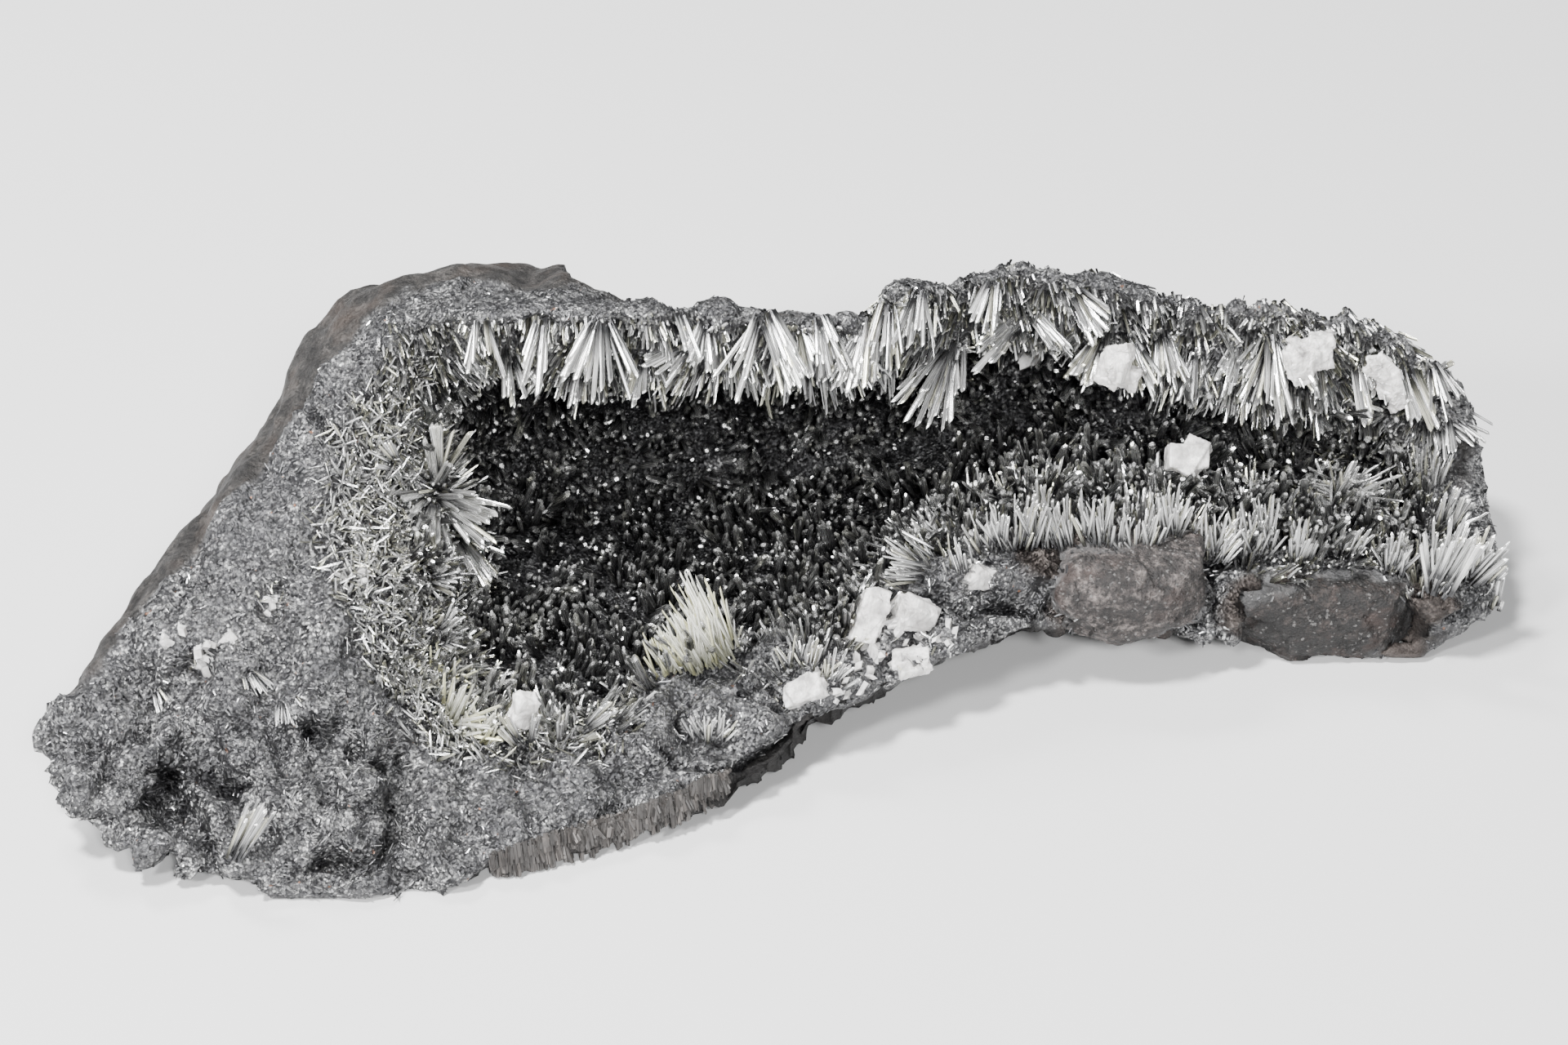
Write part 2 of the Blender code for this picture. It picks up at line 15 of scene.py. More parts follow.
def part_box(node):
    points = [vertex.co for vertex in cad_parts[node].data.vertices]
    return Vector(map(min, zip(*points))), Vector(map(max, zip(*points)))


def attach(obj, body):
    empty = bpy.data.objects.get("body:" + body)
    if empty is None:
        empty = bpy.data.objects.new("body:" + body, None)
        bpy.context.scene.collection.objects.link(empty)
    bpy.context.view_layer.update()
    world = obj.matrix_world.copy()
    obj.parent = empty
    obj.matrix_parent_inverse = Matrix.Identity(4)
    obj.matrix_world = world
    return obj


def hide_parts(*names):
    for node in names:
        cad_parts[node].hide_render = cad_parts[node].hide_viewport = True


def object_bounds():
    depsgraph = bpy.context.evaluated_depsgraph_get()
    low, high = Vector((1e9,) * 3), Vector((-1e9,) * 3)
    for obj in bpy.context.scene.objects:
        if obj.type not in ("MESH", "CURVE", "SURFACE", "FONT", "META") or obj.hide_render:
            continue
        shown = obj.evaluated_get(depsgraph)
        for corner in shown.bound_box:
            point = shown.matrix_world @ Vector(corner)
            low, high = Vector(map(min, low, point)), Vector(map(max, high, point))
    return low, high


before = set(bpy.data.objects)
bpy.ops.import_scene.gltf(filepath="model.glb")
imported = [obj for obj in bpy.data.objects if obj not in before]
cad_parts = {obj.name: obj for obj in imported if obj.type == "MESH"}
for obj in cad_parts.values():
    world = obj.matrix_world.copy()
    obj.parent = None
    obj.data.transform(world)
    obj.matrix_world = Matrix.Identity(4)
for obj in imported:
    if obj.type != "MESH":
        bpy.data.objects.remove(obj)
CAD_BOX = [[float(c) for c in corner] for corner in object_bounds()]
BOX_MM = np.array(CAD_BOX) * 1000
MM = 0.001
MARGIN = 0.02                       # every piece keeps this far inside the CAD's box

# Guide lines of the broken front, as (x, y, z).
EDGE = [(-44.5, -15, 5.5), (-42.5, -18.5, 4.5), (-38.5, -20, 3.5), (-32.5, -21.5, 2), (-26.5, -23, 1.6),
        (-17.5, -21.5, 1.6), (-11.5, -18.5, 2), (-3.5, -13.5, 2.8), (1.5, -10.5, 3.7), (7.5, -6.5, 4.8),
        (14.5, -2.5, 5.8), (21.5, -1, 6), (27.5, 0.5, 5), (32.5, 1.5, 4.5), (39.5, 1.5, 4.5),
        (45.5, 3, 4.5)]
RIM = [(-24.5, -1.5, 15.5), (-23, -5.5, 11), (-22, -8.5, 8.5), (-20, -11.5, 6.5), (-16, -13.5, 5),
       (-11.5, -13.5, 5), (-8.5, -9.5, 7), (-4.5, -6.5, 7.8), (2.5, -6, 7.6), (4.5, -2, 9), (8, 2, 10),
       (11.5, 5, 11), (17.5, 5.2, 11), (26.5, 5.8, 10), (32.5, 3.5, 8.5), (37.5, 4.3, 8), (45.5, 6, 7)]
LIP = [(-24.5, 2, 17.5), (-22.5, 3, 18.2), (-19.5, 4, 18.8), (-11.5, 3, 17.6), (-5.5, 3.5, 17.8),
       (3.5, 4, 17.2), (6.5, 5.5, 17.3), (10.5, 7.5, 18), (14.5, 9, 18.6), (18.5, 8.5, 16.8),
       (22.5, 8, 15.2), (27.5, 8, 14), (32.5, 9, 12.9), (38.5, 11, 11.2), (45.5, 11, 9)]
CREST = [(-44.5, -15, 6.2), (-40.5, -13, 8.5), (-36, -7.3, 13), (-31, -2.5, 17.5), (-27.5, 3.2, 22),
         (-24.5, 3.4, 24), (-14.5, 3.2, 24.6), (-5.5, 4, 24), (3.5, 4.2, 23), (7, 6.5, 24.6),
         (9.5, 7.5, 23.8), (14, 9.5, 24.4), (18, 9.8, 23), (25.5, 11, 21), (33.5, 13, 19),
         (40.5, 14.5, 16.5), (45.5, 13.5, 14)]

CAMERA_PLACE = np.array((-0.5, -223.5, 151.0))
CAMERA_TILT = math.radians(58)
LENS, SENSOR, VIEW_SIZE = 99.0, 36.0, (1920, 1280)
RIGHT = np.array((1.0, 0, 0))
UP = np.array((0, math.cos(CAMERA_TILT), math.sin(CAMERA_TILT)))
TOWARD = np.array((0, -math.sin(CAMERA_TILT), math.cos(CAMERA_TILT)))

ROCK_VOXEL = 0.36
FACETS = ((2.6, 0.15), (1.0, 0.20))  # broken faces: size of a facet, how steeply facets tilt
RIND_LUMPS = ((5.2, 0.5), (2.4, 0.24), (1.1, 0.10))
HOLLOW_SEEDS = 6000
BAND_SEEDS = 11500
GRAIN_SEEDS = 15000
LOOSE_SEEDS = 5000
COLUMNS = 1300
SINK = 0.45                         # how far white crystals sit back into the ore

# Sprays: place in the view (across, down), turn of the axis from the right and lean towards
# the viewer in degrees, half spread, number of blades, their length and width, brightness (a painted light
# for how much light the spray catches).
ROOF_FANS = [
    (528, 455, -60, 20, 24, 14, 2.6, 0.34, 0.65), (545, 422, -52, 18, 22, 18, 3.0, 0.34, 0.75),
    (628, 402, -72, 10, 18, 22, 3.2, 0.34, 0.6), (706, 425, -105, 25, 20, 12, 2.2, 0.40, 0.8),
    (790, 408, -88, 12, 22, 26, 2.9, 0.34, 0.6), (838, 410, -145, 15, 22, 22, 2.6, 0.36, 0.75),
    (868, 402, -92, 12, 26, 28, 2.8, 0.34, 0.65), (982, 404, -80, 12, 22, 18, 3.0, 0.34, 0.5),
    (1014, 402, -72, 12, 22, 18, 2.8, 0.34, 0.6), (1064, 384, -108, 12, 15, 34, 5.2, 0.42, 0.95),
    (1088, 368, -95, 10, 14, 18, 4.5, 0.34, 0.55), (1122, 360, -104, 10, 30, 34, 3.6, 0.34, 0.6),
    (1165, 388, -112, 10, 20, 36, 5.6, 0.36, 0.55), (1172, 432, -100, 15, 14, 14, 3.0, 0.42, 0.9),
    (1212, 348, -105, 10, 14, 22, 3.4, 0.34, 0.4), (1255, 352, -128, 12, 16, 30, 4.6, 0.40, 0.85),
    (1264, 352, -52, 12, 20, 24, 3.6, 0.36, 0.6), (1312, 362, -66, 12, 24, 22, 3.4, 0.34, 0.55),
    (1344, 396, -118, 14, 18, 22, 3.4, 0.38, 0.8), (1382, 388, -70, 12, 14, 18, 4.2, 0.34, 0.5),
    (1422, 384, -85, 12, 26, 26, 3.4, 0.32, 0.65), (1464, 398, -95, 12, 24, 26, 4.4, 0.34, 0.55),
    (1512, 420, -115, 12, 22, 22, 3.4, 0.34, 0.7), (1556, 414, -90, 14, 34, 60, 5.2, 0.34, 0.95),
    (1612, 440, -78, 12, 22, 20, 3.2, 0.34, 0.6), (1656, 408, -88, 12, 11, 22, 4.9, 0.46, 1.0),
    (1690, 436, -84, 12, 18, 18, 3.2, 0.34, 0.6), (1720, 442, -72, 12, 12, 18, 4.6, 0.42, 0.9),
    (1752, 446, -76, 12, 22, 20, 3.4, 0.34, 0.6)]
HIGH_FANS = [
    (590, 374, -78, 14, 26, 44, 4.5, 0.38, 1.1), (668, 382, -97, 12, 15, 22, 4.6, 0.38, 1.0),
    (738, 368, -90, 14, 33, 64, 5.6, 0.40, 1.1), (934, 370, -88, 14, 28, 64, 5.6, 0.40, 1.1),
    (836, 384, -70, 14, 18, 20, 3.4, 0.34, 0.7), (1004, 388, -76, 14, 16, 16, 3.6, 0.34, 0.8)]
WALL_FANS = [
    (520, 606, 30, 34, 60, 26, 4.8, 0.46, 1.4), (516, 602, 112, 40, 50, 20, 4.0, 0.42, 1.3),
    (510, 610, 196, 52, 52, 20, 4.0, 0.40, 1.2), (522, 620, -48, 32, 46, 20, 4.4, 0.44, 1.3),
    (526, 606, 60, 78, 40, 18, 2.2, 0.36, 1.5),
    (548, 662, -50, 18, 16, 16, 4.2, 0.42, 1.0), (468, 566, 140, 20, 40, 12, 1.6, 0.34, 0.6),
    (520, 720, -20, 25, 60, 22, 1.8, 0.26, 0.6), (536, 790, 10, 25, 60, 22, 1.8, 0.26, 0.6),
    (640, 906, 105, 20, 32, 18, 2.2, 0.30, 0.65), (690, 914, 62, 20, 40, 20, 2.2, 0.30, 0.7),
    (732, 906, 35, 18, 18, 10, 2.6, 0.32, 0.85)]
YELLOW_FANS = [
    (884, 776, 117, 20, 11, 90, 5.6, 0.22, 1.8), (856, 800, 113, 24, 13, 80, 4.5, 0.22, 1.8),
    (828, 822, 106, 24, 16, 44, 3.0, 0.22, 1.8), (556, 856, 30, 26, 50, 22, 3.4, 0.32, 1.5),
    (590, 884, 62, 28, 46, 20, 2.6, 0.28, 1.3), (548, 800, 40, 30, 50, 14, 2.0, 0.26, 1.2)]
RIM_FANS = [
    (888, 762, 84, 12, 25, 16, 1.8, 0.28, 0.7), (870, 905, 90, 12, 45, 26, 2.0, 0.26, 0.8),
    (976, 812, 110, 10, 38, 26, 2.2, 0.28, 0.7), (1016, 800, 62, 12, 34, 20, 2.0, 0.28, 0.65),
    (1132, 668, 152, 15, 30, 30, 3.0, 0.28, 0.7), (1152, 642, 130, 15, 26, 30, 2.8, 0.34, 0.75),
    (1182, 692, 98, 10, 14, 12, 2.4, 0.30, 0.9), (1212, 642, 106, 15, 25, 28, 2.8, 0.30, 0.7),
    (1250, 642, 95, 15, 28, 34, 3.4, 0.28, 0.8), (1275, 622, 86, 15, 14, 14, 3.2, 0.36, 1.0),
    (1302, 646, 100, 14, 30, 32, 3.4, 0.30, 0.85), (1346, 640, 92, 15, 26, 30, 3.2, 0.28, 0.7),
    (1390, 646, 96, 14, 30, 32, 3.2, 0.28, 0.75), (1432, 650, 84, 14, 28, 30, 3.2, 0.28, 0.75),
    (1478, 672, 78, 12, 34, 34, 3.2, 0.28, 0.7), (1520, 672, 96, 12, 34, 30, 2.8, 0.26, 0.6)]
END_FANS = [
    (1545, 640, 86, 15, 28, 28, 3.2, 0.26, 0.55), (1592, 655, 82, 15, 30, 28, 3.0, 0.26, 0.55),
    (1635, 588, 2, 20, 46, 44, 4.4, 0.24, 0.6), (1635, 588, 95, 20, 46, 36, 3.2, 0.24, 0.5),
    (1635, 588, 182, 20, 40, 26, 2.8, 0.24, 0.5), (1642, 650, 86, 14, 40, 32, 2.2, 0.26, 0.7),
    (1702, 668, 86, 15, 34, 32, 2.6, 0.26, 0.7), (1756, 708, 70, 14, 26, 46, 4.6, 0.36, 0.95),
    (1800, 708, 64, 14, 28, 34, 3.6, 0.36, 0.8), (1822, 744, 74, 12, 30, 22, 2.2, 0.32, 0.75),
    (1772, 622, 60, 14, 40, 28, 2.8, 0.30, 0.6), (1778, 520, -62, 14, 36, 22, 2.6, 0.30, 0.6)]
FACE_SPRAYS = [
    (292, 1052, 62, 10, 5, 30, 4.0, 0.34, 0.5), (304, 826, -62, 4, 20, 22, 1.8, 0.15, 0.4),
    (352, 850, -70, 4, 24, 22, 1.5, 0.15, 0.4), (196, 850, -58, 5, 26, 14, 1.5, 0.20, 0.5)]

# Broken faces of the two host rocks: a place in the view, and the turn and lean the face has.
MIDDLE_CUTS = [(1370, 716, 108, 64), (1432, 735, -33, 34), (1416, 774, -70, 8), (1322, 680, 130, 30),
               (1330, 762, -112, 16), (1390, 664, 84, 40)]
RIGHT_CUTS = [(1630, 766, -84, 56), (1640, 722, 88, 44), (1530, 704, 140, 20), (1700, 770, -30, 30),
              (1560, 786, -118, 14)]

HOST_OUTLINES = [
    [(1237, 668), (1300, 655), (1330, 646), (1400, 640), (1456, 654), (1486, 690), (1474, 735), (1444, 752),
     (1414, 796), (1330, 790), (1288, 776), (1284, 740), (1300, 716), (1262, 712), (1240, 692)],
    [(1500, 716), (1540, 702), (1600, 704), (1740, 712), (1786, 734), (1744, 770), (1738, 830), (1600, 820),
     (1500, 780), (1490, 735)]]

# Outlines in the view: the granular lower rim, the felted left wall, the lumpy lower left.
RIM_OUTLINE = [
    (560, 900), (600, 900), (640, 905), (680, 910), (720, 898), (750, 884), (768, 850), (798, 822),
    (828, 806), (864, 800), (894, 770), (918, 764), (936, 782), (972, 788), (1000, 792), (1040, 806),
    (1066, 800), (1096, 790), (1122, 770), (1122, 716), (1150, 704), (1190, 696), (1225, 694),
    (1244, 672), (1300, 660), (1310, 790), (1200, 840), (1000, 930), (880, 1000), (700, 1090),
    (560, 1090)]
WALL_OUTLINE = [
    (420, 520), (480, 450), (540, 446), (548, 500), (566, 560), (572, 620), (590, 700), (556, 760),
    (584, 820), (640, 872), (740, 880), (744, 912), (640, 925), (540, 915), (480, 850), (430, 760),
    (400, 640)]
LOW_LEFT_OUTLINE = [
    (30, 900), (110, 830), (200, 800), (330, 820), (430, 880), (520, 960), (560, 1100),
    (330, 1120), (40, 1030)]
# The top of the smooth strip under the ore, and the line where columns hang.
STRIP_ENDS = (560, 1300)
STRIP_LINE = [(540, 1100), (600, 1054), (690, 1024), (798, 996), (850, 976), (888, 950), (990, 888),
              (1080, 844), (1140, 820), (1200, 788), (1260, 768), (1310, 760)]
COLUMN_LINE = [(600, 1060), (640, 1046), (700, 1026), (760, 1008), (830, 982), (892, 952)]

# More swellings of the ore along the roof's upper edge.
CROWNS = [(548, 384), (630, 372), (700, 374), (786, 368), (880, 366), (976, 372), (1040, 366), (1094, 340),
          (1150, 338), (1300, 340), (1400, 352), (1500, 360), (1620, 372), (1700, 388)]

# The top of the ore behind the roof's edge stays below this line of the view.
SKYLINE = [(600, 150), (700, 336), (764, 364), (846, 376), (968, 378), (1040, 390), (1070, 372),
           (1094, 340), (1180, 150)]

# White grains: place in the view, how far they scatter, number, size.
CHIP_SPOTS = [
    (1060, 800, 40, 16, 0.9), (1114, 804, 26, 12, 0.7), (1010, 846, 36, 10, 0.7), (1150, 780, 26, 8, 0.6),
    (1090, 772, 24, 6, 0.9), (1507, 392, 10, 3, 0.8), (1262, 396, 14, 4, 1.5), (1430, 578, 26, 8, 0.9),
    (436, 706, 24, 6, 0.8), (336, 738, 14, 4, 0.9), (252, 806, 26, 8, 0.9), (208, 782, 20, 4, 0.8),
    (1190, 640, 12, 3, 0.9), (660, 890, 12, 3, 1.0)]

# Cracks and ledges: places in the view, half width and rise of the rock along them.
SEAMS = [
    ([(368, 492), (384, 506), (412, 545), (446, 596), (482, 645)], 0.42, -0.9),
    ([(1128, 714), (1190, 712), (1258, 718), (1310, 726)], 1.2, 1.1),
    ([(1484, 690), (1488, 740), (1490, 790)], 0.45, -1.2),
    ([(1130, 742), (1180, 750), (1240, 746), (1286, 756)], 0.45, -1.2),
    ([(1206, 764), (1250, 764), (1290, 774)], 0.6, 0.7),
    ([(216, 950), (232, 1000), (256, 1046)], 0.9, -1.6),
    ([(1750, 728), (1790, 742), (1840, 744)], 0.7, 0.8),
    ([(1750, 764), (1800, 770), (1840, 766)], 0.5, -0.9),
    ([(762, 886), (806, 916), (830, 940), (880, 946), (930, 926), (1000, 880), (1050, 868)], 0.34, -0.8),
    ([(796, 838), (830, 866), (838, 900)], 0.3, -0.7), ([(900, 800), (906, 850), (950, 872)], 0.3, -0.6),
    ([(200, 930), (240, 946), (280, 968), (300, 960)], 0.8, -0.9),
    ([(380, 896), (394, 906)], 0.7, -1.2), ([(1308, 678), (1290, 712), (1284, 742)], 0.35, -1.0),
    ([(1480, 690), (1520, 684), (1556, 692)], 0.6, -1.1)]

# Sizes of needles and grains: ranges of length and width, and of thickness as a share of the width.
HOLLOW_SIZES = (1.2, 4.2), (0.22, 0.58), (0.5, 1.0)
BAND_SIZES = (0.9, 2.4), (0.16, 0.38), (0.5, 0.9)
SPRAY_SHARES = (0.45, 1.0), (0.5, 1.1), (0.5, 0.9)      # shares of the spray's own length and width
FACE_GRAIN_SIZES = (0.15, 0.46), (0.07, 0.18), (0.5, 1.0)
LOOSE_SIZES = (0.5, 1.5), (0.10, 0.26), (0.5, 0.9)
COLUMN_SIZES = (0.8, 1.25), (0.13, 0.34), (0.7, 1.0)
COLLAR_SIZES = (0.4, 1.0), (0.10, 0.24), (0.5, 0.9)
WHITE_GRAIN_SHARES = (0.8, 1.3), (0.5, 1.1), (0.5, 1.0)  # shares of the size in CHIP_SPOTS
CREEPING_SIZES = (0.2, 0.6), (0.12, 0.26), (0.5, 1.0)
COLLAR_NEEDLES = 36                 # round each white crystal
CREEPING_GRAINS = 500               # on each block of host rock
MIDDLE_GRAIN, RIGHT_GRAIN = 3.0, 3.4    # size of the host rocks' largest facets, mm
COMB_SEAT = 0.4, 0.2, 0.4           # the yellowish combs' lift, push and foot, mm
BOX_MARGIN = 0.15                   # between any needle and the CAD's box, mm
DRAWS_SEED, SHADE_SEED = 5, 3       # noise.noise_vector follows Blender's start time and not these

# Prisms: sides, rings, share of the width left at the end, the shoulder's width and height, the end's slant.
PRISM_INPUTS = ("Sides", "Rings", "End", "Shoulder", "Height", "Slant")
LONG_NEEDLE = 6, 2, 0.55, 0.95, 0.93, 0.06
BLADE = 6, 2, 0.6, 0.96, 0.94, 0.06
COMB_BLADE = 5, 1, 0.6, 0.9, 0.95, 0.06
GRAIN = 4, 1, 0.6, 0.8, 0.9, 0.1
COLUMN = 5, 1, 0.9, 0.95, 1.0, 0.1
WHITE_GRAIN = 4, 1, 0.75, 0.9, 0.5, 0.35

# Needles' colours: root (a painted shade), shaft, end (also the painted highlight on the ends), tint of the
# warm ones; their share; metallic.
# The hollow's needles: a darker copy, with painted shade.
PAINTED_SHADE_NEEDLES = ((0.040, 0.040, 0.041), (0.14, 0.14, 0.142), (0.90, 0.90, 0.89), (1.0, 1.0, 0.92), 0.1, 0.96)
SILVER_NEEDLES = ((0.07, 0.07, 0.072), (0.36, 0.36, 0.363), (1.0, 1.0, 0.98), (1.0, 0.99, 0.80), 0.2, 0.96)
# The sprays' blades: a brighter copy, with painted light.
PAINTED_LIGHT_BLADES = ((0.06, 0.06, 0.062), (0.47, 0.47, 0.47), (1.0, 1.0, 0.98), (1.0, 0.98, 0.80), 0.15, 0.86)
YELLOW_BLADES = ((0.20, 0.20, 0.155), (0.76, 0.76, 0.63), (1.0, 1.0, 0.92), (1.0, 0.98, 0.70), 0.6, 0.6)

# Host rocks' colours: dark, middle, light.
BROWN_ROCK = (0.008, 0.0068, 0.0065), (0.040, 0.033, 0.031), (0.190, 0.163, 0.152)
RUSTY_ROCK = (0.003, 0.0026, 0.0025), (0.0085, 0.0066, 0.0058), (0.050, 0.038, 0.034)

# Studio: each light's name, place and width in metres, and power in watts.
LIGHTS = (("key_light", (-0.12, -0.12, 0.40), 0.06, 4.9),
          ("front_left_light", (-0.24, -0.32, 0.26), 0.06, 2.7),
          ("front_light", (0.06, -0.42, 0.29), 0.07, 3.0),
          ("back_light", (-0.14, 0.16, 0.30), 0.08, 1.2))
LIGHTS_AIM = (0, 0, 0.01)
SKY_COLOUR = (0.80, 0.82, 0.85, 1)
SKY_STRENGTH = 0.19
FLOOR_HALF_WIDTH = 3.0
FLOOR_COLOUR = (0.62, 0.62, 0.62, 1)
FLOOR_ROUGHNESS = 0.85


# ---------------------------------------------------------------- helpers

def smooth(x, low, high):
    """0 at low, 1 at high and smooth between; low may be the larger."""
    t = np.clip((np.asarray(x, float) - low) / (high - low), 0, 1)
    return t * t * (3 - 2 * t)


def unit(vectors):
    return vectors / np.maximum(np.linalg.norm(vectors, axis=-1, keepdims=True), 1e-9)


def at(line, x):
    """The (y, z) of a guide line at each x."""
    xs, ys, zs = zip(*line)
    return np.stack((np.interp(x, xs, ys), np.interp(x, xs, zs)), axis=-1)


def per_point(points, rule):
    """A rule of one mathutils vector, at each row of an array."""
    return np.array([rule(Vector(p)) for p in points])


def points_of(mesh):
    """Points in millimetres and their normals."""
    count = len(mesh.vertices)
    places, normals = np.empty(count * 3), np.empty(count * 3, np.float32)
    mesh.vertices.foreach_get("co", places)
    mesh.vertex_normals.foreach_get("vector", normals)
    return places.reshape(-1, 3) * 1000, normals.reshape(-1, 3).astype(float)


def triangles_of(mesh):
    mesh.calc_loop_triangles()
    corners = np.empty(len(mesh.loop_triangles) * 3, np.int32)
    mesh.loop_triangles.foreach_get("vertices", corners)
    return corners.reshape(-1, 3)


def keep_in_box(points):
    return np.clip(points, BOX_MM[0] + MARGIN, BOX_MM[1] - MARGIN)


def write_points(mesh, points):
    mesh.vertices.foreach_set("co", (keep_in_box(points) * MM).ravel())
    mesh.update()


def write_attribute(mesh, name, values, kind="FLOAT"):
    values = np.asarray(values, np.float32)
    field = "vector" if kind == "FLOAT_VECTOR" else "value"
    mesh.attributes.new(name, kind, "POINT").data.foreach_set(field, values.ravel())


def new_object(name, mesh):
    made = bpy.data.objects.new(name, mesh)
    bpy.context.scene.collection.objects.link(made)
    return made


def merged_copy(node, name):
    """A copy of a CAD node's mesh with its loose triangles joined."""
    bm = bmesh.new()
    bm.from_mesh(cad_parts[node].data)
    bmesh.ops.remove_doubles(bm, verts=bm.verts, dist=1e-6)
    mesh = bpy.data.meshes.new(name)
    bm.to_mesh(mesh)
    bm.free()
    return new_object(name, mesh)


def settle(piece):
    """Turns a piece's modifiers into its plain mesh."""
    graph = bpy.context.evaluated_depsgraph_get()
    plain = bpy.data.meshes.new_from_object(piece.evaluated_get(graph))
    piece.modifiers.clear()
    piece.data = plain
    plain.name = piece.name
    return piece


def remesh(piece, voxel):
    modifier = piece.modifiers.new("even", "REMESH")
    modifier.mode = "VOXEL"
    modifier.voxel_size = voxel * MM
    return settle(piece)


def tree_of(mesh):
    """A ray-casting tree of a mesh, in millimetres."""
    points, _ = points_of(mesh)
    return BVHTree.FromPolygons(points.tolist(), triangles_of(mesh).tolist())


def finish_piece(piece, slot, *nodes, flat=True):
    for polygon in piece.data.polygons:
        polygon.use_smooth = not flat
    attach(piece, "root")
    if nodes:
        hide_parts(*nodes)


# ---------------------------------------------------------------- materials

class Maker:
    """Short calls for building one material's nodes."""

    def __init__(self, name):
        self.material = bpy.data.materials.new(name)
        self.material.use_nodes = True
        self.tree = self.material.node_tree
        self.shader = self.tree.nodes["Principled BSDF"]
        self.mm = self.mapping(1000.0)

    def node(self, kind, **settings):
        made = self.tree.nodes.new(kind)
        for key, value in settings.items():
            setattr(made, key, value)
        return made

    def link(self, source, target):
        self.tree.links.new(source, target)

    def feed(self, socket, value):
        """Links a socket's source, or sets its plain value."""
        if isinstance(value, bpy.types.NodeSocket):
            self.link(value, socket)
        else:
            socket.default_value = value

    def mapping(self, scale, source=None):
        place = self.node("ShaderNodeMapping")
        scale = scale if isinstance(scale, tuple) else (scale,) * 3
        place.inputs["Scale"].default_value = scale
        source = source or self.node("ShaderNodeTexCoord").outputs["Object"]
        self.link(source, place.inputs["Vector"])
        return place.outputs["Vector"]

    def attribute(self, name, field="Fac"):
        return self.node("ShaderNodeAttribute", attribute_name=name).outputs[field]

    def noise(self, scale, detail=4.0, rough=0.55, vector=None):
        made = self.node("ShaderNodeTexNoise")
        made.inputs["Scale"].default_value = scale
        made.inputs["Detail"].default_value = detail
        made.inputs["Roughness"].default_value = rough
        self.link(vector or self.mm, made.inputs["Vector"])
        return made.outputs["Fac"]

    def cells(self, scale):
        made = self.node("ShaderNodeTexVoronoi")
        made.inputs["Scale"].default_value = scale
        self.link(self.mm, made.inputs["Vector"])
        return made

    def ramp(self, value, *stops):
        made = self.node("ShaderNodeValToRGB")
        self.feed(made.inputs["Fac"], value)
        elements = made.color_ramp.elements
        while len(elements) < len(stops):
            elements.new(0.5)
        for element, (place, colour) in zip(elements, stops):
            element.position = place
            element.color = (*colour, 1) if isinstance(colour, tuple) else (colour, colour, colour, 1)
        return made.outputs["Color"]

    def mix(self, factor, first, second, blend="MIX"):
        made = self.node("ShaderNodeMix", data_type="RGBA", blend_type=blend)
        for socket, value in zip((made.inputs[0], made.inputs[6], made.inputs[7]), (factor, first, second)):
            if isinstance(value, tuple):
                value = (*value, 1)
            self.feed(socket, value)
        return made.outputs[2]

    def math(self, operation, first, second=0.0, clamp=False):
        made = self.node("ShaderNodeMath", operation=operation, use_clamp=clamp)
        self.feed(made.inputs[0], first)
        self.feed(made.inputs[1], second)
        return made.outputs[0]

    def split(self, colour):
        made = self.node("ShaderNodeSeparateColor")
        self.link(colour, made.inputs["Color"])
        return made.outputs["Red"], made.outputs["Green"], made.outputs["Blue"]

    def bump(self, height, strength, distance, normal=None):
        made = self.node("ShaderNodeBump")
        made.inputs["Strength"].default_value = strength
        made.inputs["Distance"].default_value = distance * MM
        self.link(height, made.inputs["Height"])
        if normal:
            self.link(normal, made.inputs["Normal"])
        return made.outputs["Normal"]

    def glitter(self, cells, amount, normal=None):
        """Turns the normal a different way in each cell, as on small crystal faces."""
        away = self.node("ShaderNodeVectorMath", operation="SUBTRACT")
        self.link(cells.outputs["Color"], away.inputs[0])
        away.inputs[1].default_value = (0.5, 0.5, 0.5)
        scaled = self.node("ShaderNodeVectorMath", operation="SCALE")
        self.link(away.outputs[0], scaled.inputs[0])
        self.feed(scaled.inputs["Scale"], amount)
        total = self.node("ShaderNodeVectorMath", operation="ADD")
        self.link(normal or self.node("ShaderNodeNewGeometry").outputs["Normal"], total.inputs[0])
        self.link(scaled.outputs[0], total.inputs[1])
        straight = self.node("ShaderNodeVectorMath", operation="NORMALIZE")
        self.link(total.outputs[0], straight.inputs[0])
        return straight.outputs[0]

    def surface(self, **inputs):
        names = {"colour": "Base Color", "metal": "Metallic", "rough": "Roughness", "normal": "Normal",
                 "specular": "Specular IOR Level", "glow_through": "Subsurface Weight",
                 "depth": "Subsurface Radius", "depth_scale": "Subsurface Scale"}
        for key, value in inputs.items():
            if isinstance(value, tuple) and len(value) == 3 and key == "colour":
                value = (*value, 1)
            self.feed(self.shader.inputs[names[key]], value)
        return self.material


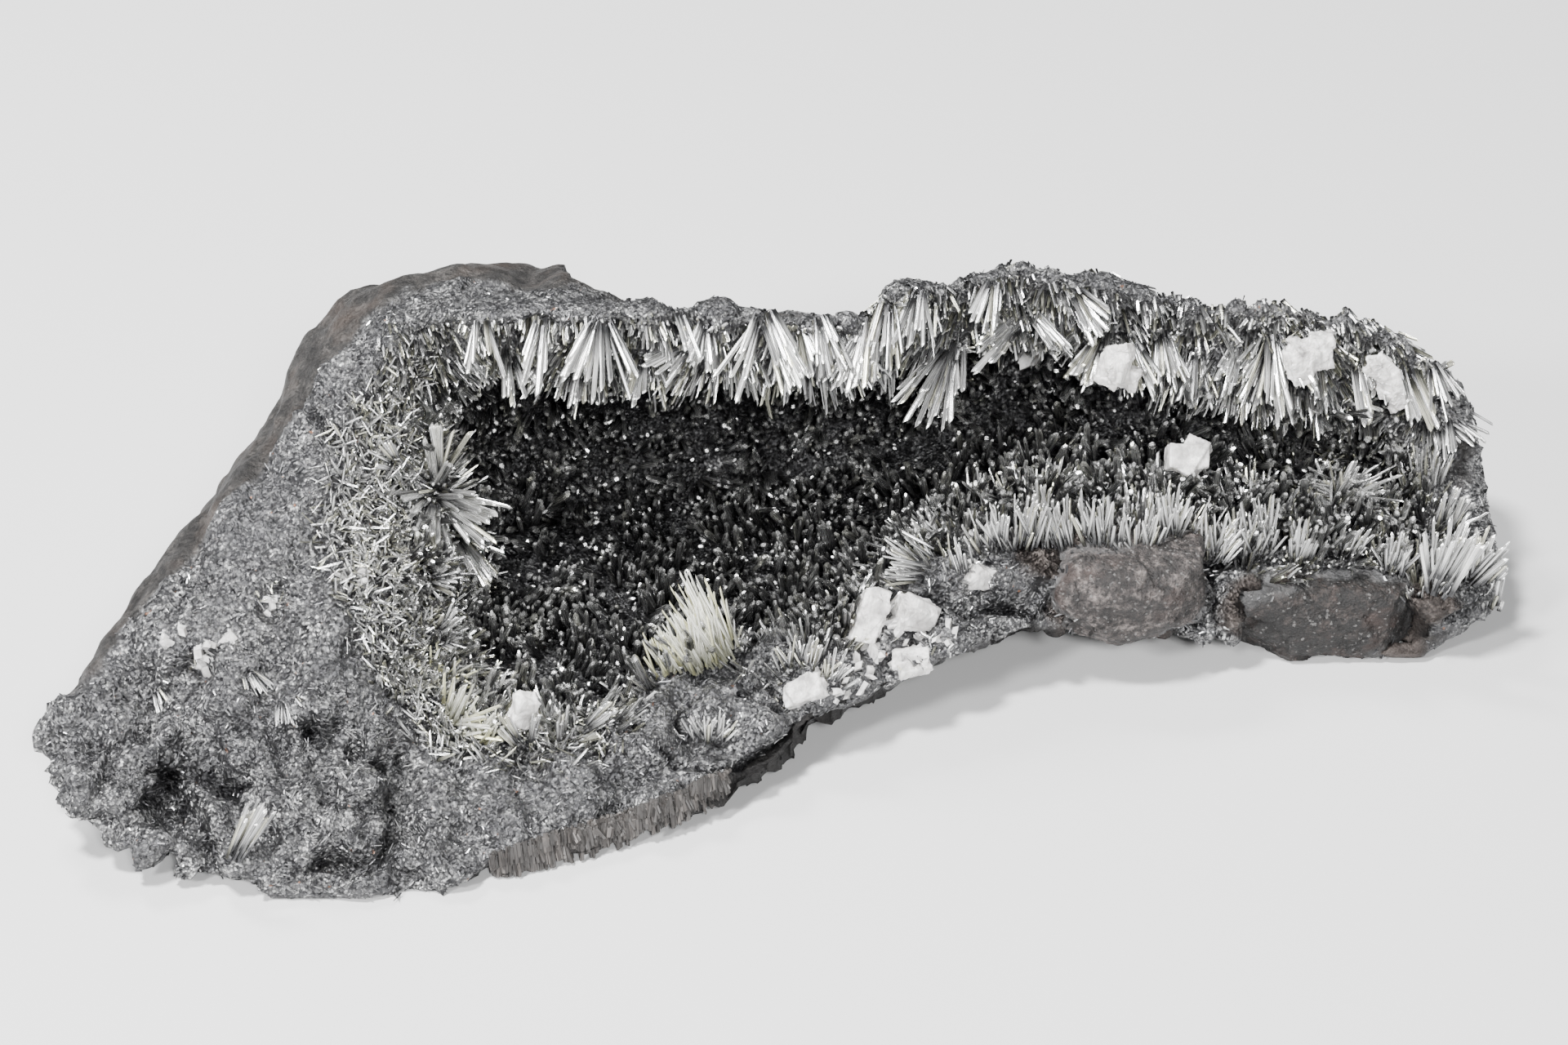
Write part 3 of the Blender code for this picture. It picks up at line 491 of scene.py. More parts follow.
def ore_material():
    m = Maker("granular_ore_and_rind")
    broken, bed, painted_crack_shade = m.attribute("broken"), m.attribute("bed"), m.attribute("painted_crack_shade")
    fine, coarse = m.cells(6.2), m.cells(2.4)
    fine_value = m.split(fine.outputs["Color"])[0]
    coarse_value = m.split(coarse.outputs["Color"])[1]
    mottle = m.noise(0.9, 5, 0.6)
    cloud = m.noise(0.75, 6, 0.62)
    shade = m.math("ADD", m.math("MULTIPLY", fine_value, 0.42), m.math("MULTIPLY", coarse_value, 0.22))
    shade = m.math("ADD", shade, m.math("MULTIPLY", cloud, 0.36))
    silver = m.ramp(shade, (0.22, (0.025, 0.025, 0.027)), (0.42, (0.10, 0.10, 0.102)),
                    (0.60, (0.24, 0.24, 0.24)), (0.76, (0.75, 0.75, 0.74)))
    silver = m.mix(m.ramp(fine.outputs["Distance"], (0.45, 0.0), (0.75, 0.75)), silver, (0.03, 0.03, 0.032))
    patches = m.noise(0.22, 4, 0.6)
    silver = m.mix(m.ramp(patches, (0.42, 0.0), (0.62, 0.65)), silver, (0.095, 0.095, 0.099))
    silver = m.mix(m.ramp(m.noise(0.7, 3, 0.6), (0.5, 0.0), (0.68, 0.6)), silver, (0.06, 0.06, 0.063))
    rust = m.ramp(m.noise(1.5, 2), (0.72, 0.0), (0.76, 0.6))
    silver = m.mix(rust, silver, (0.32, 0.14, 0.07))
    rind = m.ramp(mottle, (0.30, (0.017, 0.0165, 0.0165)), (0.52, (0.042, 0.040, 0.0385)),
                  (0.75, (0.10, 0.093, 0.088)))
    rind = m.mix(m.ramp(fine_value, (0.15, 0.7), (0.6, 0.0)), rind, (0.017, 0.0165, 0.0165))
    # painted shade: the rind is darkened on faces turned down and on the smooth strip under the ore
    facing = m.node("ShaderNodeSeparateXYZ")
    m.link(m.node("ShaderNodeNewGeometry").outputs["Normal"], facing.inputs[0])
    under = m.ramp(m.math("MULTIPLY", facing.outputs["Z"], -1.0), (0.0, 0.0), (0.35, 0.9))
    rind = m.mix(m.ramp(m.noise(0.35, 3), (0.5, 0.0), (0.72, 0.35)), rind, (0.09, 0.067, 0.055))
    dark = m.math("MAXIMUM", under, m.math("MULTIPLY", m.attribute("strip"), 0.9))
    rind = m.mix(dark, rind, (0.016, 0.0155, 0.0155))
    colour = m.mix(broken, rind, silver)
    host = m.ramp(m.noise(0.75, 6, 0.62), (0.28, (0.012, 0.010, 0.0095)), (0.5, (0.046, 0.039, 0.036)),
                  (0.74, (0.13, 0.112, 0.103)))
    colour = m.mix(m.attribute("host"), colour, host)
    # painted shade: the rock under the needle crust is darkened, more where the rock hides it from the sky
    colour = m.mix(m.math("MULTIPLY", bed, m.attribute("painted_hollow_shade")), colour, (0.028, 0.028, 0.029))
    # painted shade in the sunk pits of the broken face
    colour = m.mix(m.math("MULTIPLY", m.attribute("painted_pit_shade"), 0.5), colour, (0.03, 0.03, 0.031))
    # painted shade along the sunk cracks
    colour = m.mix(painted_crack_shade, colour, (0.012, 0.012, 0.013))
    normal = m.bump(m.noise(2.6, 7, 0.68), 0.75, 0.28)
    normal = m.bump(fine.outputs["Distance"], 0.5, 0.08, normal)
    normal = m.glitter(fine, m.math("ADD", m.math("MULTIPLY", broken, 1.0), 0.3), normal)
    rough = m.math("ADD", m.math("MULTIPLY", broken, -0.16),
                   m.math("ADD", 0.44, m.math("MULTIPLY", mottle, 0.14)))
    metal = m.math("ADD", m.math("MULTIPLY", broken, 0.45), 0.35, clamp=True)
    shine = m.math("ADD", m.math("MULTIPLY", broken, 0.35), 0.15)
    return m.surface(colour=colour, metal=metal, rough=rough, normal=normal, specular=shine)


def needle_material(name, root, middle, tip, warm, warm_share, metal):
    """Metal needles: painted shade at the roots, lighter shafts, a painted highlight on the ends; tone sets
    each needle's own brightness, and a painted shade darkens those that the rock hides.
    """
    m = Maker(name)
    tone, along, painted_shade = m.attribute("tone"), m.attribute("along"), m.attribute("painted_shade")
    offset = m.node("ShaderNodeVectorMath", operation="MULTIPLY_ADD")
    offset.inputs[1].default_value = (9.0, 9.0, 0.7)
    m.link(m.attribute("local", "Vector"), offset.inputs[0])
    own = m.node("ShaderNodeCombineXYZ")
    for axis, factor in (("X", 31.0), ("Y", 17.0), ("Z", 7.0)):
        m.link(m.math("MULTIPLY", tone, factor), own.inputs[axis])
    m.link(own.outputs[0], offset.inputs[2])
    streaks = m.noise(1.0, 3, 0.6, offset.outputs[0])
    shaft = m.mix(m.ramp(tone, (0.0, 0.0), (1.0, 1.0)), middle, tip)
    # painted shade: the shafts darken towards the roots
    shaft = m.mix(m.ramp(along, (0.10, 1.0), (0.55, 0.0)), shaft, root)
    shaft = m.mix(m.ramp(streaks, (0.38, 0.8), (0.52, 0.0)), shaft, root)
    # painted highlight: the ends of the brighter needles are lit up
    painted_tip_glint = m.math("MULTIPLY", m.ramp(along, (0.90, 0.0), (0.985, 1.0)),
                   m.ramp(tone, (0.1, 0.25), (0.8, 1.0)))
    colour = m.mix(painted_tip_glint, shaft, tip)
    yellow = m.math("FRACT", m.math("MULTIPLY", tone, 41.0))
    colour = m.mix(m.ramp(yellow, (1 - warm_share, 0.0), (1.02 - warm_share, 0.8)), colour,
                   m.mix(1.0, colour, warm, "MULTIPLY"))
    # painted shade: needles that the rock hides from the sky are darkened
    colour = m.mix(painted_shade, colour, (0.028, 0.028, 0.029))
    rough = m.ramp(streaks, (0.25, 0.16), (0.75, 0.36))
    return m.surface(colour=colour, metal=metal, rough=rough, normal=m.bump(streaks, 0.3, 0.05))


def grain_material():
    m = Maker("crystal_grains")
    tone = m.attribute("tone")
    patches = m.noise(0.22, 4, 0.6)
    colour = m.ramp(tone, (0.0, (0.03, 0.03, 0.032)), (0.45, (0.13, 0.13, 0.132)),
                    (0.8, (0.36, 0.36, 0.36)), (1.0, (0.95, 0.95, 0.93)))
    colour = m.mix(m.ramp(patches, (0.42, 0.0), (0.62, 0.6)), colour, (0.10, 0.10, 0.105))
    colour = m.mix(m.ramp(m.noise(0.7, 3, 0.6), (0.5, 0.0), (0.68, 0.7)), colour, (0.06, 0.06, 0.063))
    rough = m.ramp(tone, (0.0, 0.42), (1.0, 0.24))
    return m.surface(colour=colour, metal=0.85, rough=rough)


def host_rock_material(name, dark, middle, light):
    m = Maker(name)
    mottle = m.noise(0.9, 8, 0.68)
    colour = m.ramp(mottle, (0.36, dark), (0.5, middle), (0.65, light))
    colour = m.mix(m.ramp(m.noise(3.0, 6, 0.7), (0.44, 0.0), (0.58, 0.9)), colour, dark)
    colour = m.mix(m.ramp(m.noise(0.3, 3), (0.42, 0.0), (0.66, 0.6)), colour, dark)
    colour = m.mix(m.ramp(m.noise(0.5, 3), (0.55, 0.0), (0.7, 0.35)), colour, (0.07, 0.042, 0.035))
    specks = m.cells(7.0)
    bright = m.ramp(m.split(specks.outputs["Color"])[0], (0.94, 0.0), (0.97, 0.22))
    colour = m.mix(bright, colour, (0.42, 0.41, 0.40))
    colour = m.mix(m.ramp(m.attribute("contact"), (0.0, 0.0), (1.0, 0.9)), colour, (0.15, 0.15, 0.152))
    normal = m.bump(m.noise(2.2, 7, 0.68), 0.8, 0.35)
    normal = m.bump(m.cells(5.5).outputs["Distance"], 0.6, 0.12, normal)
    return m.surface(colour=colour, metal=m.math("MULTIPLY", bright, 0.8), rough=0.6, normal=normal)


def white_crystal_material():
    m = Maker("milky_white_crystal")
    cloud = m.noise(0.9, 5, 0.6)
    colour = m.ramp(cloud, (0.30, (0.30, 0.29, 0.285)), (0.46, (0.56, 0.545, 0.53)),
                    (0.62, (0.80, 0.785, 0.765)))
    veins = m.noise(1.0, 4, 0.6, m.mapping((3.2, 3.2, 0.5), m.mm))
    colour = m.mix(m.ramp(veins, (0.40, 0.5), (0.52, 0.0)), colour, (0.34, 0.335, 0.33))
    normal = m.bump(m.noise(1.9, 6, 0.65), 0.5, 0.16)
    normal = m.glitter(m.cells(2.6), 0.2, normal)
    return m.surface(colour=colour, metal=0.0, rough=0.24, normal=normal, specular=0.55,
                     glow_through=0.4, depth=(1.0, 0.95, 0.85), depth_scale=0.0006)


def column_material():
    m = Maker("columnar_under_layer")
    tone = m.attribute("tone")
    colour = m.ramp(tone, (0.0, (0.014, 0.013, 0.012)), (0.6, (0.040, 0.036, 0.034)),
                    (1.0, (0.12, 0.108, 0.10)))
    colour = m.mix(m.ramp(m.noise(1.2, 4), (0.4, 0.0), (0.65, 0.7)), colour, (0.06, 0.057, 0.055))
    return m.surface(colour=colour, metal=0.25, rough=0.5)


# ---------------------------------------------------------------- places

def seen(tree, across, down):
    """The point of the rock, and its normal, at a place of the view."""
    focal = LENS / SENSOR * VIEW_SIZE[0]
    way = RIGHT * (across - VIEW_SIZE[0] / 2) - UP * (down - VIEW_SIZE[1] / 2) - TOWARD * focal
    way /= np.linalg.norm(way)
    hit, normal, _, _ = tree.ray_cast(Vector(CAMERA_PLACE), Vector(way))
    if hit is None:
        middle = Vector(CAMERA_PLACE + way * 270)
        hit, normal, _, _ = tree.find_nearest(middle)
    return np.array(hit), np.array(normal)


def before_crest(tree, across, down, steepest=2.0):
    """The first place down the view from a spot that lies before the crest and isn't too level."""
    for step in range(9):
        place, normal = seen(tree, across, down + 4 * step)
        if place[1] < at(CREST, place[0])[0] + 0.4 and normal[2] < steepest:
            break
    return place, normal


def view_of(points):
    """Where points lie in the view: across, down."""
    away = points - CAMERA_PLACE
    scale = LENS / SENSOR * VIEW_SIZE[0] / -(away @ TOWARD)
    return VIEW_SIZE[0] / 2 + away @ RIGHT * scale, VIEW_SIZE[1] / 2 - away @ UP * scale


def within(points, normals, outline, soft):
    """1 for points that face the viewer inside an outline of the view, 0 outside, over a soft border."""
    across, down = view_of(points)
    inside = np.zeros(len(points), bool)
    nearest = np.full(len(points), 1e9)
    for (x0, y0), (x1, y1) in zip(outline, outline[1:] + outline[:1]):
        run_x, run_y = x1 - x0, y1 - y0
        crosses = (y0 > down) != (y1 > down)
        inside ^= crosses & (across < x0 + (down - y0) * run_x / (run_y or 1e-9))
        t = np.clip(((across - x0) * run_x + (down - y0) * run_y) / (run_x ** 2 + run_y ** 2), 0, 1)
        nearest = np.minimum(nearest, np.hypot(across - x0 - t * run_x, down - y0 - t * run_y))
    return smooth(np.where(inside, nearest, -nearest), -soft, soft) * smooth(normals @ TOWARD, -0.25, 0.1)


def host_share(points, normals):
    """1 where host rock shows, on the blocks and on the ore beside them."""
    ragged = points + per_point(points, lambda p: noise.noise_vector(p * 0.9)) * 0.5
    return np.maximum.reduce([within(ragged, normals, outline, 6) for outline in HOST_OUTLINES])


def way_out(turn, lean):
    """A direction from its turn in the view and its lean towards the viewer, in degrees."""
    turn, lean = math.radians(turn), math.radians(lean)
    return (RIGHT * math.cos(turn) + UP * math.sin(turn)) * math.cos(lean) + TOWARD * math.sin(lean)


def distance_to_line(points, line):
    """Each point's distance to a line of straight pieces."""
    best = np.full(len(points), 1e9)
    for a, b in zip(line[:-1], line[1:]):
        run = b - a
        t = np.clip((points - a) @ run / max(run @ run, 1e-6), 0, 1)
        best = np.minimum(best, np.linalg.norm(points - a - t[:, None] * run, axis=1))
    return best


# ---------------------------------------------------------------- the ore body

def facet_step(p, size, tilt):
    """Height of flat facets, one to a Voronoi cell, each tilted its own way."""
    middle = noise.voronoi(p / size)[1][0]
    way = noise.cell_vector(middle * 7.3) - Vector((0.5, 0.5, 0.5))
    return (p / size - middle).dot(way) * size * tilt * 2


def lump_height(p, size, rise):
    nearest = noise.voronoi(p / size)[0][0]
    return rise * (0.5 - 1.7 * nearest * nearest)


def broken_share(points, normals):
    """1 on the broken front, crest and right end, 0 on the rind."""
    x, y, z = points.T
    edge, crest = at(EDGE, x), at(CREST, x)
    run = crest - edge
    length = np.linalg.norm(run, axis=1, keepdims=True)
    along = run / np.maximum(length, 0.1)
    away = points[:, 1:] - edge
    depth = away[:, 0] * along[:, 1] - away[:, 1] * along[:, 0]
    share = (away * along).sum(axis=1) / np.maximum(length[:, 0], 0.1)
    waver = per_point(points, lambda p: 0.5 * noise.noise(p * 0.5) + 0.3 * noise.noise(p * 1.3))
    lowest = np.interp(x, (-40, -20, -18, 15, 18), (-0.2, -0.3, -0.5, -0.5, -0.7))
    across, down = view_of(points)
    strip = smooth(down - np.interp(across, *zip(*STRIP_LINE)) + waver * 8, -6, 6)
    strip *= (across > STRIP_ENDS[0]) * (across < STRIP_ENDS[1])
    front = (1 - smooth(depth + waver, 1.4, 2.4)) * (1 - smooth(share, 0.97, 1.03))
    front *= smooth(share - lowest, 0, 0.04) * (1 - strip)
    behind = np.interp(x, (-36, -24, 3, 8, 40), (0.9, 1.0, 1.0, 4.0, 4.5))
    top = 1 - smooth(y - crest[:, 0] + waver * 2, behind, behind + 0.8)
    top *= smooth(z - crest[:, 1], -4.5, -3.5)
    end = smooth(x, 36, 39) * smooth(normals[:, 0], 0.15, 0.45)
    scar = per_point(points, lambda p: noise.noise(p * 0.1 + Vector((4, 9, 2))) + 0.2 * noise.noise(p))
    scar = smooth(scar, 0.08, 0.2) * smooth(y - crest[:, 0], 5, 8) * (1 - smooth(z, 13, 17))
    return np.clip(np.maximum.reduce((front, top, end, scar)), 0, 1), strip


def cover_of(crust_tree, points, normals, bed):
    """Thickness of the crust over each point of its bed."""
    cover = np.zeros(len(points))
    for i in np.flatnonzero(bed > 0.02):
        way = Vector(normals[i])
        hit, out, _, reach = crust_tree.ray_cast(Vector(points[i]) + way * 0.25, way, 3.5)
        if hit is not None and out.dot(way) > 0:
            cover[i] = reach + 0.25
    return cover


def roof_fill(points):
    """1 on the upper part of the roof's edge, with a scalloped lower border."""
    lip, crest = at(LIP, points[:, 0]), at(CREST, points[:, 0])
    scallop = per_point(points, lambda p: noise.noise(Vector((p.x * 0.42, 3.0, 1.0))))
    share = (points[:, 2] - lip[:, 1]) / (crest[:, 1] - lip[:, 1])
    return smooth(share + 0.3 * scallop, 0.25, 0.45) * (points[:, 0] > -26)


def rock_relief(points, normals, broken, bed):
    facets = per_point(points, lambda p: sum(facet_step(p, *facet) for facet in FACETS))
    rough = per_point(points, lambda p: 0.28 * noise.fractal(p * 0.9, 0.9, 2.1, 4))
    hummocks = per_point(points, lambda p: 1.5 * noise.noise(p * 0.24 + Vector((3, 1, 7))))
    lumps = per_point(points, lambda p: sum(lump_height(p, *lump) for lump in RIND_LUMPS))
    low_left = within(points, normals, LOW_LEFT_OUTLINE, 30)
    lower_rim = within(points, normals, RIM_OUTLINE, 12)
    bosses = per_point(points, lambda p: max(lump_height(p, 2.9, 1.5), -0.6)
                       + lump_height(p + Vector((5, 2, 9)), 1.2, 0.45))
    rough = rough * (0.8 + 1.2 * low_left) + hummocks * (0.45 + 1.0 * low_left)
    rough += bosses * (0.2 + 1.2 * low_left + 0.8 * lower_rim)
    return (1 - bed) * (broken * (facets + rough) + (1 - broken) * lumps)


def build_rock(crust_tree):
    rock = remesh(merged_copy("ore_body", "ore_rock"), ROCK_VOXEL)
    points, normals = points_of(rock.data)
    plain_tree = tree_of(rock.data)
    broken, strip = broken_share(points, normals)
    gaps = np.array([crust_tree.find_nearest(Vector(p))[3] for p in points])
    bed = 1 - smooth(gaps, 0.45, 0.9)
    cover = cover_of(crust_tree, points, normals, bed)
    fill = np.maximum(within(points, normals, RIM_OUTLINE, 8), roof_fill(points))
    bed *= 1 - fill
    low_left = within(points, normals, LOW_LEFT_OUTLINE, 12)
    x, y, z = points.T
    toe = smooth(-y, 14, 16) * (1 - smooth(x, -30, -27)) * smooth(z, 0.4, 1.0)
    ragged_gaps = gaps + per_point(points, lambda p: 1.6 * noise.noise(p * 0.4) + 0.6 * noise.noise(p * 1.3))
    broken = np.maximum.reduce((broken, 1 - smooth(ragged_gaps, 3.0, 3.8), low_left, toe))
    relief = rock_relief(points, normals, broken, bed)
    host = host_share(points, normals)
    across, down = view_of(points)
    rise = relief + fill * cover * 0.85 + 0.6 * host
    rise -= strip * smooth(across, 880, 930) * (1 - smooth(across, 1180, 1260)) * 1.2
    above = np.clip(np.interp(across, *zip(*SKYLINE)) + 8 - down, 0, 50)
    rise -= above * 0.065 * smooth(y - at(CREST, x)[:, 0], 0.2, 1.2)
    for place in HIGH_FANS + CROWNS:
        reach = np.linalg.norm(points - before_crest(plain_tree, place[0], place[1] + 8)[0], axis=1)
        rise += (1 - smooth(reach, 0.3, 1.7)) * np.interp(place[0], (1040, 1120), (0.9, 0.2))
    rise *= np.where(normals[:, 2] < 0, smooth(points[:, 2], 0.0, 1.6), 1.0)
    rise -= (1 - smooth(points[:, 1] - BOX_MM[0][1], 0.3, 2.4)) * smooth(points[:, 2], 0.3, 1.2) * 0.9
    painted_crack_shade = np.zeros(len(points))
    for places, half_width, height in SEAMS:
        line = [seen(plain_tree, *place)[0] for place in places]
        ragged = per_point(points, lambda p: 0.35 * noise.noise(p * 1.1) + 0.2 * noise.noise(p * 2.7))
        off_line = distance_to_line(points, line) + ragged * half_width
        near = 1 - smooth(off_line, half_width * 0.2, half_width * 1.3)
        rise += near * height
        # the sunk cracks get a painted shade
        if height < 0:
            painted_crack_shade = np.maximum(painted_crack_shade, near ** 2)
    points += normals * rise[:, None]
    near_crest = 1 - smooth(np.linalg.norm(points[:, 1:] - at(CREST, points[:, 0]), axis=1), 1.0, 3.6)
    dips = per_point(points, lambda p: smooth(noise.noise(Vector((p.x * 0.55, 7.0, 2.0))), -0.1, 0.45))
    points[:, 2] -= near_crest * dips * 0.5
    on_floor = points[:, 2] < 0.25
    points[on_floor, 2] = np.maximum(points[on_floor, 2], 0)
    write_points(rock.data, points)
    sheltered = shade_of(plain_tree, np.random.default_rng(SHADE_SEED), points, normals, 6, 24.0)
    write_attribute(rock.data, "broken", broken)
    write_attribute(rock.data, "bed", bed)
    # the strip's mask, which the ore's material uses for painted shade
    write_attribute(rock.data, "strip", strip)
    write_attribute(rock.data, "host", host)
    write_attribute(rock.data, "painted_crack_shade", painted_crack_shade)
    # painted shade where the relief is sunk
    write_attribute(rock.data, "painted_pit_shade", smooth(-relief, 0.3, 1.2) * (1 - bed) * broken)
    # painted shade of the hollow's bed, from how much sky the rock hides
    write_attribute(rock.data, "painted_hollow_shade", 0.55 + 0.45 * smooth(sheltered, 0.25, 0.6))
    rock.data.materials.append(ore_material())
    return rock, broken * (1 - host), bed, gaps


# ---------------------------------------------------------------- needles

def needle_tree(name, material):
    """Geometry Nodes: a prism with its own shoulder and slanted end on every point."""
    tree = bpy.data.node_groups.new(name, "GeometryNodeTree")
    face = tree.interface
    face.new_socket("Geometry", in_out="INPUT", socket_type="NodeSocketGeometry")
    sockets = {}
    for label in PRISM_INPUTS:
        kind = "NodeSocketInt" if label in ("Sides", "Rings") else "NodeSocketFloat"
        sockets[label] = face.new_socket(label, in_out="INPUT", socket_type=kind).identifier
    face.new_socket("Geometry", in_out="OUTPUT", socket_type="NodeSocketGeometry")
    nodes, links = tree.nodes, tree.links
    start, end = nodes.new("NodeGroupInput"), nodes.new("NodeGroupOutput")

    def maths(operation, first, second=0.0):
        made = nodes.new("ShaderNodeMath")
        made.operation = operation
        for socket, value in zip(made.inputs, (first, second)):
            if isinstance(value, bpy.types.NodeSocket):
                links.new(value, socket)
            else:
                socket.default_value = value
        return made.outputs[0]

    def named(attribute, kind="FLOAT"):
        made = nodes.new("GeometryNodeInputNamedAttribute")
        made.data_type = kind
        made.inputs["Name"].default_value = attribute
        return made.outputs["Attribute"]

    def store(geometry, attribute, value, kind="FLOAT"):
        made = nodes.new("GeometryNodeStoreNamedAttribute")
        made.data_type = kind
        made.inputs["Name"].default_value = attribute
        links.new(geometry, made.inputs["Geometry"])
        links.new(value, made.inputs["Value"])
        return made.outputs[0]

    prism = nodes.new("GeometryNodeMeshCylinder")
    prism.fill_type = "NGON"
    links.new(start.outputs["Sides"], prism.inputs["Vertices"])
    links.new(start.outputs["Rings"], prism.inputs["Side Segments"])
    prism.inputs["Radius"].default_value = 0.5
    prism.inputs["Depth"].default_value = 1.0
    place = nodes.new("GeometryNodeInputPosition")
    parts = nodes.new("ShaderNodeSeparateXYZ")
    links.new(place.outputs[0], parts.inputs[0])
    x, y = parts.outputs["X"], parts.outputs["Y"]
    z = maths("ADD", parts.outputs["Z"], 0.5)
    middle = maths("SUBTRACT", 1.0, maths("ABSOLUTE", maths("SUBTRACT", maths("MULTIPLY", z, 2.0), 1.0)))
    end_cut = maths("MULTIPLY", z, maths("SUBTRACT", 1.0, start.outputs["End"]))
    level = maths("MULTIPLY", maths("ADD", start.outputs["End"], 1.0), 0.5)
    bulge = maths("MULTIPLY", middle, maths("SUBTRACT", start.outputs["Shoulder"], level))
    share = maths("ADD", maths("SUBTRACT", 1.0, end_cut), bulge)
    lift = maths("MULTIPLY", middle, maths("SUBTRACT", start.outputs["Height"], 0.5))
    slant = maths("MULTIPLY", maths("MULTIPLY", x, z), start.outputs["Slant"])
    shaped = nodes.new("ShaderNodeCombineXYZ")
    links.new(maths("MULTIPLY", x, share), shaped.inputs["X"])
    links.new(maths("MULTIPLY", y, share), shaped.inputs["Y"])
    links.new(maths("ADD", maths("ADD", z, lift), slant), shaped.inputs["Z"])
    move = nodes.new("GeometryNodeSetPosition")
    links.new(prism.outputs["Mesh"], move.inputs["Geometry"])
    links.new(shaped.outputs[0], move.inputs["Position"])
    height = nodes.new("ShaderNodeSeparateXYZ")
    moved_place = nodes.new("GeometryNodeInputPosition")
    links.new(moved_place.outputs[0], height.inputs[0])
    template = store(move.outputs[0], "along", height.outputs["Z"])
    template = store(template, "local", moved_place.outputs[0], "FLOAT_VECTOR")

    turn = nodes.new("FunctionNodeAxesToRotation")
    turn.primary_axis, turn.secondary_axis = "Z", "X"
    links.new(named("grow", "FLOAT_VECTOR"), turn.inputs[0])
    links.new(named("side", "FLOAT_VECTOR"), turn.inputs[1])
    size = nodes.new("ShaderNodeCombineXYZ")
    for axis, attribute in zip("XYZ", ("width", "thickness", "length")):
        links.new(named(attribute), size.inputs[axis])
    place_all = nodes.new("GeometryNodeInstanceOnPoints")
    links.new(start.outputs["Geometry"], place_all.inputs["Points"])
    links.new(template, place_all.inputs["Instance"])
    links.new(turn.outputs[0], place_all.inputs["Rotation"])
    links.new(size.outputs[0], place_all.inputs["Scale"])
    realize = nodes.new("GeometryNodeRealizeInstances")
    links.new(place_all.outputs[0], realize.inputs[0])
    paint = nodes.new("GeometryNodeSetMaterial")
    paint.inputs["Material"].default_value = material
    links.new(realize.outputs[0], paint.inputs["Geometry"])
    links.new(paint.outputs[0], end.inputs[0])
    return tree, sockets


def grow(name, seeds, material, prism):
    """A piece of needles, one to each seed."""
    mesh = bpy.data.meshes.new(name)
    mesh.vertices.add(len(seeds["place"]))
    mesh.vertices.foreach_set("co", (seeds["place"] * MM).ravel())
    for key in ("grow", "side"):
        write_attribute(mesh, key, seeds[key], "FLOAT_VECTOR")
    for key in ("length", "width", "thickness"):
        write_attribute(mesh, key, seeds[key] * MM)
    for key in ("tone", "painted_shade"):
        write_attribute(mesh, key, seeds[key])
    piece = new_object(name, mesh)
    tree, sockets = needle_tree(name + "_tree", material)
    modifier = piece.modifiers.new("needles", "NODES")
    modifier.node_group = tree
    for label, value in zip(PRISM_INPUTS, prism):
        modifier[sockets[label]] = value
    settle(piece)
    write_points(piece.data, points_of(piece.data)[0])
    return piece


def scatter(rng, mesh, weights, count):
    """Random places and normals on a mesh, by area times the weights of the corners."""
    points, normals = points_of(mesh)
    corners = triangles_of(mesh)
    a, b, c = (points[corners[:, k]] for k in range(3))
    area = np.linalg.norm(np.cross(b - a, c - a), axis=1) / 2
    chance = area * weights[corners].mean(axis=1)
    picked = rng.choice(len(corners), count, p=chance / chance.sum())
    u, v = rng.random((2, count, 1))
    fold = (u + v > 1)[:, 0]
    u[fold], v[fold] = 1 - u[fold], 1 - v[fold]
    i, j, k = corners[picked].T
    place = points[i] * (1 - u - v) + points[j] * u + points[k] * v
    normal = unit(normals[i] * (1 - u - v) + normals[j] * u + normals[k] * v)
    return place, normal


def shade_of(tree, rng, places, normals, rays=10, reach=30.0):
    """Share of the sky that the rock hides from each place."""
    hidden = np.zeros(len(places))
    for _ in range(rays):
        ways = unit(unit(rng.normal(size=places.shape)) + normals * 1.1)
        for i, (place, way) in enumerate(zip(places, ways)):
            hidden[i] += tree.ray_cast(Vector(place + way * 0.5), Vector(way), reach)[0] is not None
    return hidden / rays


def across_of(rng, ways, jitter):
    """Directions across needles, facing the viewer with their broad side, turned at random."""
    side = unit(np.cross(ways, TOWARD) + rng.normal(size=ways.shape) * jitter)
    return unit(side - ways * (side * ways).sum(axis=1, keepdims=True))


def fit_lengths(tree, seeds, share=0.45):
    """Shortens needles that would cross the hollow or leave the CAD's box. Drops what starts outside it."""
    low, high = BOX_MM[0] + BOX_MARGIN, BOX_MM[1] - BOX_MARGIN
    for i, (place, way) in enumerate(zip(seeds["place"], seeds["grow"])):
        hit = tree.ray_cast(Vector(place + way * 1.0), Vector(way), 14.0)
        if hit[0] is not None:
            seeds["length"][i] = min(seeds["length"][i], (hit[3] + 1.0) * share + 0.4)
    for axis in range(3):
        way = seeds["grow"][:, axis]
        room = np.where(way > 0, high[axis] - seeds["place"][:, axis], seeds["place"][:, axis] - low[axis])
        seeds["length"] = np.minimum(seeds["length"], np.maximum(room, 0.0) / np.maximum(np.abs(way), 1e-3))
    within_box = ((seeds["place"] > low) & (seeds["place"] < high)).all(axis=1)
    kept = (seeds["length"] > 0.2) & within_box
    return {key: values[kept] for key, values in seeds.items()}


def make_seeds(rng, place, ways, length, width, flatness, tone, painted_shade, jitter=1.0):
    count = len(place)
    wide = rng.uniform(*width, count)
    return {"place": place, "grow": ways, "side": across_of(rng, ways, jitter),
            "length": rng.uniform(*length, count), "width": wide,
            "thickness": wide * rng.uniform(*flatness, count), "tone": tone, "painted_shade": painted_shade}


def joined(parts):
    return {key: np.concatenate([part[key] for part in parts]) for key in parts[0]}


